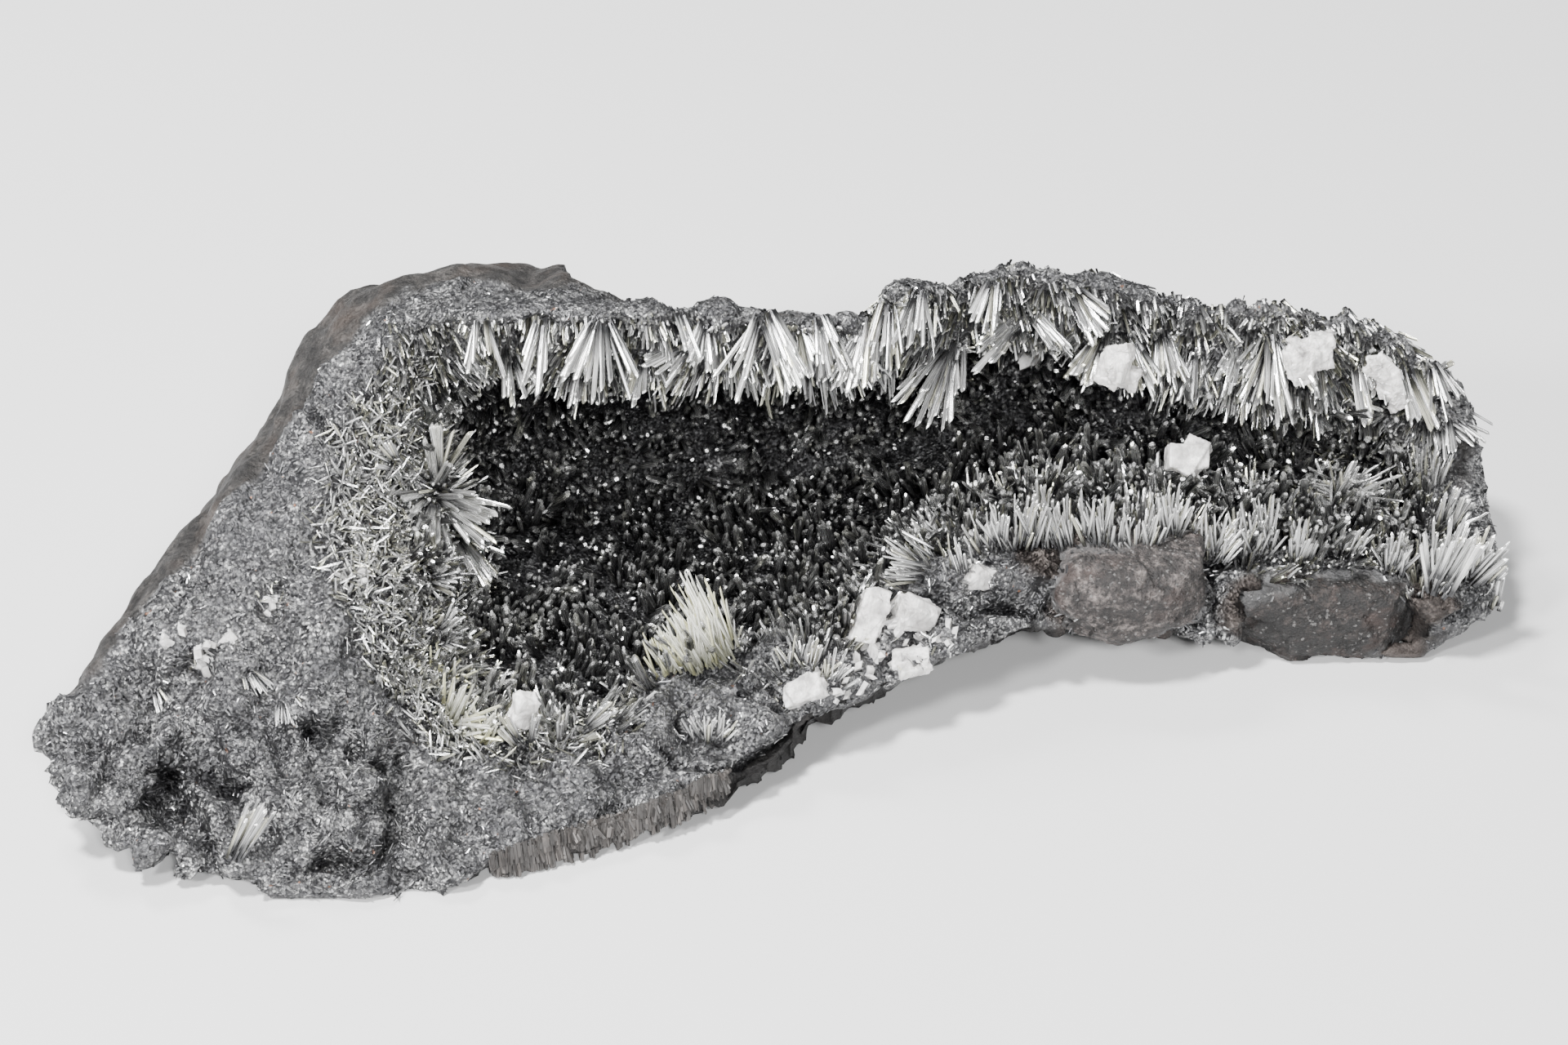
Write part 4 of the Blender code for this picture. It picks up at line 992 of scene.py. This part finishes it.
def fan(rng, tree, lift, push, foot, across, down, turn, lean, spread, count, length, width, bright):
    """One spray: blades that leave a common root, lifted off the rock, and open out."""
    root, normal = before_crest(tree, across, down, 0.6 if push < 0.3 else 2.0)
    root = root + normal * lift + TOWARD * push
    axis = way_out(turn, lean)
    side = unit(np.cross(axis, TOWARD))
    out = np.cross(side, axis)
    spread = math.radians(spread)
    bundles = rng.uniform(-1, 1, 2 + count // (8 if math.degrees(spread) < 44 else 2))
    picked = rng.integers(0, len(bundles), count)
    open_side = np.clip(bundles[picked] + rng.normal(size=count) * 0.13, -1.2, 1.2)
    open_out = rng.uniform(-0.5, 0.8, len(bundles))[picked] + rng.normal(size=count) * 0.15
    ways = axis + np.outer(np.tan(open_side * spread), side)
    ways = ways + np.outer(np.tan(open_out * spread * 0.5), out)
    ways = unit(ways + rng.normal(size=ways.shape) * 0.05)
    place = (root + TOWARD * 0.1 - axis * 0.3 + np.outer(open_side * (0.35 + 0.5 * spread), side)
             + np.outer(open_out * 0.35, out) + np.outer(rng.uniform(0, 0.30, count) * length, axis)
             + np.outer(rng.normal(size=count) * foot, side))
    glow = rng.uniform(0.35, 1.1, len(bundles))[picked]
    # painted light: each spray's brightness stands for how much light it catches
    tone = np.clip(bright * glow * rng.uniform(0.15, 1.45, count), 0, 1)
    seeds = make_seeds(rng, place, ways, *SPRAY_SHARES, tone, np.zeros(count), 0.35)
    seeds["length"] *= length * (1 - 0.25 * np.abs(open_side))
    seeds["width"] *= width
    seeds["thickness"] *= width
    return seeds


def fan_cores(tree, fans):
    """Sunk centres, axes and brightness of sprays, which set how the needles between them lie."""
    roots = np.array([seen(tree, *one[:2])[0] for one in fans])
    axes = np.array([way_out(one[2], one[3]) for one in fans])
    return roots - axes * 1.6 - TOWARD * 1.0, axes, np.array([one[8] for one in fans])


def hollow_needles(rng, rock, bed, tree):
    """Thick needles in the dark hollow, turned towards its mouth."""
    points, normals = points_of(rock.data)
    lip, rim = at(LIP, points[:, 0]), at(RIM, points[:, 0])
    inside = (1 - smooth(points[:, 2] - lip[:, 1], -0.5, 0.8)) * smooth(points[:, 1] - rim[:, 0], -2.0, 1.5)
    clumps = per_point(points, lambda p: smooth(noise.noise(p * 0.55), -0.35, 0.15))
    weight = np.where(bed > 0.5, 1.0, 0.0) * inside * (0.12 + 0.88 * clumps)
    weight *= 1 - 0.7 * within(points, normals, WALL_OUTLINE, 16)
    place, normal = scatter(rng, rock.data, weight, HOLLOW_SEEDS)
    mouth = np.column_stack((place[:, 0], (at(RIM, place[:, 0]) + at(LIP, place[:, 0])) / 2))
    mouth += (0, -9.0, 7.0)
    bend = per_point(place, lambda p: noise.noise_vector(p * 0.4)) * 0.6
    ways = unit(mouth - place) * 0.5 + TOWARD * 0.7 + normal * 0.3 + bend
    ways = unit(ways + rng.normal(size=place.shape) * 0.16)
    # painted shade, darker where the rock hides more of the sky
    shade = smooth(shade_of(tree, rng, place, normal), 0.5, 1.05)
    seeds = make_seeds(rng, place - ways * 0.3, ways, *HOLLOW_SIZES,
                       rng.random(len(place)) ** 1.15, shade * 0.2)
    seeds["length"] *= per_point(place, lambda p: 0.65 + 0.5 * smooth(noise.noise(p * 0.55), -0.3, 0.3))
    return fit_lengths(tree, seeds)


def band_needles(rng, rock, gaps, tree, fans):
    """The felt of finer needles between the sprays of the roof's edge, the rims and the right end."""
    points, normals = points_of(rock.data)
    x = points[:, 0]
    lip, rim, crest = at(LIP, x), at(RIM, x), at(CREST, x)
    roof = smooth(points[:, 2] - lip[:, 1], -1.5, 0.3)
    roof *= (1 - smooth(points[:, 2] - crest[:, 1], -0.9, -0.3)) * (1 - smooth(normals[:, 2], 0.45, 0.75))
    low = 1 - smooth(np.linalg.norm(points[:, 1:] - rim, axis=1), 2.6, 4.6)
    wall = within(points, normals, WALL_OUTLINE, 16)
    end = smooth(x, 26, 32)
    weight = (1 - smooth(gaps, 2.0, 2.8)) * np.maximum.reduce((roof, low, wall, end))
    weight *= 1 - within(points, normals, RIM_OUTLINE, 6)
    place, normal = scatter(rng, rock.data, weight, BAND_SEEDS)
    cores, axes, bright = fan_cores(tree, fans)
    away = place[:, None, :] - cores[None, :, :]
    nearest = np.linalg.norm(away, axis=2).argmin(axis=1)
    radial = unit(away[np.arange(len(place)), nearest])
    high = smooth(at(CREST, place[:, 0])[:, 1] - place[:, 2], 3.0, 0.5)[:, None]
    ways = radial * (1 - 0.7 * high) + axes[nearest] * (0.5 + 0.5 * high) + normal * (0.2 + 0.8 * high)
    ways = ways + rng.normal(size=place.shape) * 0.11
    ways[:, 2] = np.where(high[:, 0] > 0.3, np.minimum(ways[:, 2], -0.2), ways[:, 2])
    ways = unit(ways)
    # painted light: the felt takes the brightness of its nearest spray
    tone = np.clip(bright[nearest] * rng.uniform(0.1, 1.05, len(place)) ** 1.3, 0, 1)
    # painted shade, darker where the rock hides more of the sky
    shade = smooth(shade_of(tree, rng, place, normal, 6), 0.6, 1.1) * 0.6
    seeds = make_seeds(rng, place - ways * 0.4, ways, *BAND_SIZES, tone, shade, 0.7)
    seeds["length"] *= 0.45 + 0.55 * smooth(at(CREST, place[:, 0])[:, 1] - place[:, 2], 0.2, 2.2)
    seeds["length"] *= per_point(place, lambda p: 0.9 + 0.7 * noise.noise(p * 0.8))
    return fit_lengths(tree, seeds)


def face_grains(rng, rock, broken, bed):
    """Short crystals lying in the broken face, longer ones nearer the hollow."""
    points, _ = points_of(rock.data)
    front = smooth(-points[:, 1], -16, -8) * 0.6 + 0.4
    weight = (1 - smooth(bed, 0.6, 1.0)) * smooth(broken, 0.3, 0.8) * front
    place, normal = scatter(rng, rock.data, weight, GRAIN_SEEDS)
    grain = per_point(place, lambda p: noise.noise_vector(p * 0.35)) * 2.2
    side = unit(np.cross(normal, grain + rng.normal(size=place.shape) * 0.6))
    ways = unit(side + normal * rng.uniform(0.05, 0.6, len(place))[:, None])
    off_rim = np.linalg.norm(place[:, 1:] - at(RIM, place[:, 0]), axis=1)
    near = (1 - smooth(off_rim, 1.0, 6.0)) + (1 - smooth(np.abs(place[:, 0] + 25), 1.0, 6.0))
    near = np.clip(near, 0, 1) * (place[:, 0] > -32) * (place[:, 1] < at(CREST, place[:, 0])[:, 0] + 1)
    tone = rng.random(len(place)) ** 1.7
    seeds = make_seeds(rng, place, ways, *FACE_GRAIN_SIZES, tone, np.zeros(len(place)))
    seeds["length"] *= 1 + 1.0 * near
    seeds["width"] *= 1 - 0.35 * near
    seeds["place"] = place - ways * seeds["length"][:, None] * 0.45
    return seeds


def loose_needles(rng, rock, tree):
    """Small crystals lying every way over the felted wall and the rims' borders."""
    points, normals = points_of(rock.data)
    weight = within(points, normals, WALL_OUTLINE, 28) * (points[:, 1] < at(CREST, points[:, 0])[:, 0] + 1)
    place, normal = scatter(rng, rock.data, weight, LOOSE_SEEDS)
    side = unit(np.cross(normal, rng.normal(size=place.shape)))
    ways = unit(side + normal * rng.uniform(0.1, 1.0, len(place))[:, None])
    tone = rng.random(len(place)) ** 0.7
    seeds = make_seeds(rng, place, ways, *LOOSE_SIZES, tone, np.zeros(len(place)))
    seeds["place"] = place - ways * 0.15 + normal * rng.uniform(0, 0.35, len(place))[:, None]
    return fit_lengths(tree, seeds, 1.0)


def under_columns(rng, tree):
    """The columnar layer hanging under the granular ore along the lower edge."""
    across = rng.uniform(COLUMN_LINE[0][0], COLUMN_LINE[-1][0], COLUMNS)
    down = np.interp(across, *zip(*COLUMN_LINE)) + rng.uniform(-10, 12, COLUMNS)
    hits = [seen(tree, *spot) for spot in zip(across, down)]
    place, normal = np.array([hit[0] for hit in hits]), np.array([hit[1] for hit in hits])
    fall = unit(-np.array((0, 0, 1.0)) + normal * normal[:, 2:] + normal * 0.05)
    ways = unit(fall.mean(axis=0) * 0.6 + fall * 0.4 + rng.normal(size=place.shape) * 0.05)
    tone = np.clip(rng.random(COLUMNS) * 0.7 + 0.5 * (np.floor(across / 7) * 0.618 % 1) - 0.1, 0, 1)
    seeds = make_seeds(rng, place - ways * 0.3, ways, *COLUMN_SIZES, tone, np.zeros(COLUMNS))
    seeds["length"] *= 0.7 + 0.45 * (np.floor(across / 13 + rng.normal(size=COLUMNS) * 0.15) * 0.618 % 1)
    return fit_lengths(tree, seeds, 1.0)


def collars(rng, tree, middles):
    """Short needles round the foot of each white crystal."""
    parts = []
    for middle, radius in middles:
        ways = unit(rng.normal(size=(COLLAR_NEEDLES, 3)))
        ring = middle + ways * radius * rng.uniform(0.8, 1.15, (COLLAR_NEEDLES, 1))
        hits = [tree.find_nearest(Vector(p)) for p in ring]
        place, normal = np.array([hit[0] for hit in hits]), np.array([hit[1] for hit in hits])
        front = (normal @ TOWARD > 0.2) & (normal[:, 2] < 0.8)
        place, normal = place[front], normal[front]
        ways = unit(normal + unit(middle - place) * 0.4 + rng.normal(size=place.shape) * 0.5)
        tone = rng.uniform(0.2, 0.9, len(place))
        parts.append(make_seeds(rng, place - ways * 0.2, ways, *COLLAR_SIZES, tone, np.zeros(len(place))))
    return fit_lengths(tree, joined(parts), 1.0)


def white_grains(rng, tree):
    """Small white crystals caught in the ore."""
    parts = []
    for across, down, reach, count, size in CHIP_SPOTS:
        spots = np.array((across, down)) + rng.normal(size=(count, 2)) * reach / 2
        hits = [before_crest(tree, *spot) for spot in spots]
        place, normal = np.array([hit[0] for hit in hits]), np.array([hit[1] for hit in hits])
        place, normal = place[normal @ TOWARD > 0.1], normal[normal @ TOWARD > 0.1]
        ways = unit(normal + rng.normal(size=place.shape) * 0.7)
        seeds = make_seeds(rng, place - ways * size * 0.5, ways, *WHITE_GRAIN_SHARES,
                           rng.random(len(place)), np.zeros(len(place)), 3.0)
        for key in ("length", "width", "thickness"):
            seeds[key] *= size
        parts.append(seeds)
    return fit_lengths(tree, joined(parts), 1.0)


# ---------------------------------------------------------------- host rock and white crystals

def chip(mesh, planes):
    """Breaks a closed mesh along planes, each a point in millimetres and the way it faces."""
    bm = bmesh.new()
    bm.from_mesh(mesh)
    for point, way in planes:
        parts = bm.verts[:] + bm.edges[:] + bm.faces[:]
        cut = bmesh.ops.bisect_plane(bm, geom=parts, plane_co=Vector(point) * MM, plane_no=Vector(way),
                                     clear_outer=True)
        rim = [e for e in cut["geom_cut"] if isinstance(e, bmesh.types.BMEdge)]
        bmesh.ops.edgenet_fill(bm, edges=rim)
    bmesh.ops.recalc_face_normals(bm, faces=bm.faces)
    bm.to_mesh(mesh)
    bm.free()


def random_planes(rng, mesh, count, nearest, farthest):
    """Planes that break corners off a mesh, at a share of its reach their way."""
    points, _ = points_of(mesh)
    middle = points.mean(axis=0)
    planes = []
    for _ in range(count):
        way = unit(rng.normal(size=3))
        reach = ((points - middle) @ way).max()
        planes.append((middle + way * reach * rng.uniform(nearest, farthest), way))
    return planes


def build_host_rock(rng, tree, node, name, material, cuts, grain):
    """A block of host rock, swollen a little into its bed and broken along planes."""
    piece = merged_copy(node, name)
    remesh(piece, 0.5)
    points, normals = points_of(piece.data)
    inward = np.clip(normals @ unit(np.array((0, 1.0, 0.6))), 0, 1)
    swell = 0.1 + 1.3 * inward + 0.35 * np.abs(normals[:, 0])
    write_points(piece.data, points + normals * swell[:, None])
    own_tree = tree_of(piece.data)
    planes = [(seen(own_tree, across, down)[0], way_out(turn, lean)) for across, down, turn, lean in cuts]
    chip(piece.data, planes + random_planes(rng, piece.data, 2, 0.86, 0.95))
    remesh(piece, 0.17)
    points, normals = points_of(piece.data)
    relief = per_point(points, lambda p: facet_step(p, grain, 0.09) + facet_step(p, grain / 5, 0.15)
                       + 0.06 * noise.fractal(p * 1.8, 0.7, 2.1, 5))
    points += normals * relief[:, None]
    points -= TOWARD * 0.35
    write_points(piece.data, points)
    far = np.array([tree.find_nearest(Vector(p))[3] for p in points])
    patchy = per_point(points, lambda p: 0.5 * noise.noise(p * 0.9))
    host = host_share(points, normals)
    contact = (1 - smooth(far + patchy, 0.3, 0.9)) * (1 - 0.7 * host)
    write_attribute(piece.data, "contact", contact)
    piece.data.materials.append(material)
    return piece, contact


def creeping_grains(rng, blocks):
    """Ore grains that creep from the ore over the edges of the host rock."""
    parts = []
    for piece, contact in blocks:
        place, normal = scatter(rng, piece.data, contact, CREEPING_GRAINS)
        ways = unit(normal * 0.5 + rng.normal(size=place.shape))
        parts.append(make_seeds(rng, place - ways * 0.12, ways, *CREEPING_SIZES,
                                rng.random(len(place)) ** 1.5, np.zeros(len(place))))
    return joined(parts)


def shards(rng, mesh, count, smallest, largest):
    """Turns a mesh into smaller, turned, broken copies of itself that fill its place."""
    points, _ = points_of(mesh)
    faces = triangles_of(mesh).tolist()
    middle, half = points.mean(axis=0), np.ptp(points, axis=0) / 2
    total = bmesh.new()
    for _ in range(count):
        share = rng.uniform(smallest, largest, 3)
        turn = np.array(Euler(rng.normal(size=3) * 0.3).to_matrix())
        moved = (points - middle) * share @ turn.T + middle + rng.uniform(-1, 1, 3) * half * (1 - share)
        shard = bpy.data.meshes.new("shard")
        shard.from_pydata((moved * MM).tolist(), [], faces)
        chip(shard, random_planes(rng, shard, 4, 0.74, 0.97))
        total.from_mesh(shard)
        bpy.data.meshes.remove(shard)
    total.to_mesh(mesh)
    total.free()


def build_white_crystal(rng, node, material):
    """A chipped milky crystal with cleaved, worn faces."""
    piece = merged_copy(node, node + "_chipped")
    middle = points_of(piece.data)[0].mean(axis=0)
    in_roof, in_face = middle[2] > 10 and "rim" not in node, middle[0] < -25
    shards(rng, piece.data, *((6, 0.35, 0.75) if in_roof or in_face else (2, 0.78, 0.97)))
    remesh(piece, 0.11)
    points, normals = points_of(piece.data)
    tilt = 0.16 if in_roof or in_face else 0.05
    relief = per_point(points, lambda p: facet_step(p, 1.1, tilt) + facet_step(p, 0.45, tilt)
                       + 0.03 * noise.noise(p * 2.6))
    points += normals * relief[:, None]
    points -= TOWARD * (SINK + 0.8 * in_roof + 0.45 * in_face)
    write_points(piece.data, points)
    piece.data.materials.append(material)
    return piece


# ---------------------------------------------------------------- studio

def add_area(name, place, width, power):
    """A soft square light that looks at the middle of the specimen."""
    light = bpy.data.lights.new(name, "AREA")
    light.shape = "RECTANGLE"
    light.size, light.size_y = width, width
    light.energy = power
    lamp = bpy.data.objects.new(name, light)
    bpy.context.scene.collection.objects.link(lamp)
    lamp.location = place
    lamp.rotation_euler = (Vector(LIGHTS_AIM) - Vector(place)).to_track_quat("-Z", "Y").to_euler()


def add_studio():
    scene = bpy.context.scene
    world = bpy.data.worlds.new("studio")
    scene.world = world
    world.use_nodes = True
    world.node_tree.nodes["Background"].inputs["Color"].default_value = SKY_COLOUR
    world.node_tree.nodes["Background"].inputs["Strength"].default_value = SKY_STRENGTH
    for light in LIGHTS:
        add_area(*light)
    bm = bmesh.new()
    bmesh.ops.create_grid(bm, x_segments=1, y_segments=1, size=FLOOR_HALF_WIDTH)
    mesh = bpy.data.meshes.new("floor")
    bm.to_mesh(mesh)
    bm.free()
    floor = new_object("floor", mesh)
    made = bpy.data.materials.new("pale_floor")
    made.use_nodes = True
    made.node_tree.nodes["Principled BSDF"].inputs["Base Color"].default_value = FLOOR_COLOUR
    made.node_tree.nodes["Principled BSDF"].inputs["Roughness"].default_value = FLOOR_ROUGHNESS
    mesh.materials.append(made)


def add_camera():
    data = bpy.data.cameras.new("camera")
    data.sensor_width = SENSOR
    data.lens = LENS
    data.clip_start = 0.01
    camera = bpy.data.objects.new("camera", data)
    bpy.context.scene.collection.objects.link(camera)
    camera.location = CAMERA_PLACE * MM
    camera.rotation_euler = (CAMERA_TILT, 0, 0)
    bpy.context.scene.camera = camera


# ---------------------------------------------------------------- the specimen

def main():
    rng = np.random.default_rng(DRAWS_SEED)
    crust = merged_copy("cavity_needle_crust", "crust_guide")
    crust_tree = tree_of(crust.data)
    bpy.data.objects.remove(crust)
    rock, broken, bed, gaps = build_rock(crust_tree)
    tree = tree_of(rock.data)
    finish_piece(rock, "silver_ore", "ore_body", flat=False)

    # a darker copy of the needles for the hollow, its darkness a painted shade
    dark = needle_material("needles_with_painted_shade", *PAINTED_SHADE_NEEDLES)
    silver = needle_material("silver_needles", *SILVER_NEEDLES)
    # a brighter copy of the needles for the sprays, its brightness a painted light
    bright = needle_material("blades_with_painted_light", *PAINTED_LIGHT_BLADES)
    yellow = needle_material("yellowish_blades", *YELLOW_BLADES)
    fans = ROOF_FANS + HIGH_FANS + WALL_FANS + YELLOW_FANS + RIM_FANS + END_FANS
    hollow = grow("hollow_needles", hollow_needles(rng, rock, bed, tree), dark, LONG_NEEDLE)
    finish_piece(hollow, "black_needles", "cavity_needle_crust")
    band = grow("band_needles", band_needles(rng, rock, gaps, tree, fans), silver, GRAIN)
    finish_piece(band, "black_needles")
    rim = [(*one[:5], one[5] * 5 // 4, one[6], one[7] * 0.75, one[8] * 1.1) for one in RIM_FANS]
    tops = [(*one[:2], one[2] + 180, 52, 60, 10, 1.0, 0.28, one[8] * 0.9)
            for one in ROOF_FANS if one[1] > 366]
    # Each group of sprays: its lift off the rock, its push towards the viewer and its foot, in mm.
    groups = ((0.15, 0.0, 0.1, ROOF_FANS), (0.1, 0.5, 0.1, HIGH_FANS), (0.15, 0.0, 0.1, tops),
              (0.9, 0.5, 0.0, WALL_FANS), (0.3, 0.1, 0.5, rim), (0.3, 0.1, 0.4, END_FANS),
              (0.15, 0.0, 0.1, FACE_SPRAYS))
    blades = joined([fan(rng, tree, *group[:3], *one) for group in groups for one in group[3]])
    sprays = grow("sprays_with_painted_light", fit_lengths(tree, blades, 1.0), bright, BLADE)
    finish_piece(sprays, "black_needles")
    combs = joined([fan(rng, tree, *COMB_SEAT, *one) for one in YELLOW_FANS])
    yellowish = grow("yellowish_sprays", fit_lengths(tree, combs, 1.0), yellow, COMB_BLADE)
    finish_piece(yellowish, "black_needles")
    grains = grow("face_grains", face_grains(rng, rock, broken, bed), grain_material(), GRAIN)
    finish_piece(grains, "silver_ore")
    loose = grow("loose_needles", loose_needles(rng, rock, tree), silver, GRAIN)
    finish_piece(loose, "black_needles")
    columns = grow("under_columns", under_columns(rng, tree), column_material(), COLUMN)
    finish_piece(columns, "silver_ore")

    whites = sorted(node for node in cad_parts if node.startswith("white_crystal"))
    boxes = [np.array(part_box(node)) * 1000 for node in whites]
    middles = [(box.mean(axis=0) - TOWARD * SINK, np.ptp(box, axis=0).max() / 2) for box in boxes]
    collar = grow("crystal_collars", collars(rng, tree, middles), silver, GRAIN)
    finish_piece(collar, "black_needles")
    milky = white_crystal_material()
    for node in whites:
        finish_piece(build_white_crystal(rng, node, milky), "white_crystal", node)
    chips = grow("white_grains", white_grains(rng, tree), milky, WHITE_GRAIN)
    finish_piece(chips, "white_crystal")

    brown = host_rock_material("brown_host_rock", *BROWN_ROCK)
    rusty = host_rock_material("rusty_host_rock", *RUSTY_ROCK)
    blocks = [build_host_rock(rng, tree, "matrix_block_middle", "host_rock_middle", brown, MIDDLE_CUTS,
                               MIDDLE_GRAIN),
              build_host_rock(rng, tree, "matrix_block_right", "host_rock_right", rusty, RIGHT_CUTS,
                               RIGHT_GRAIN)]
    finish_piece(blocks[0][0], "brown_rock", "matrix_block_middle", flat=False)
    finish_piece(blocks[1][0], "rusty_rock", "matrix_block_right", flat=False)
    creeping = grow("grains_on_host_rock", creeping_grains(rng, blocks), grain_material(), GRAIN)
    finish_piece(creeping, "silver_ore")
    add_studio()
    add_camera()


main()
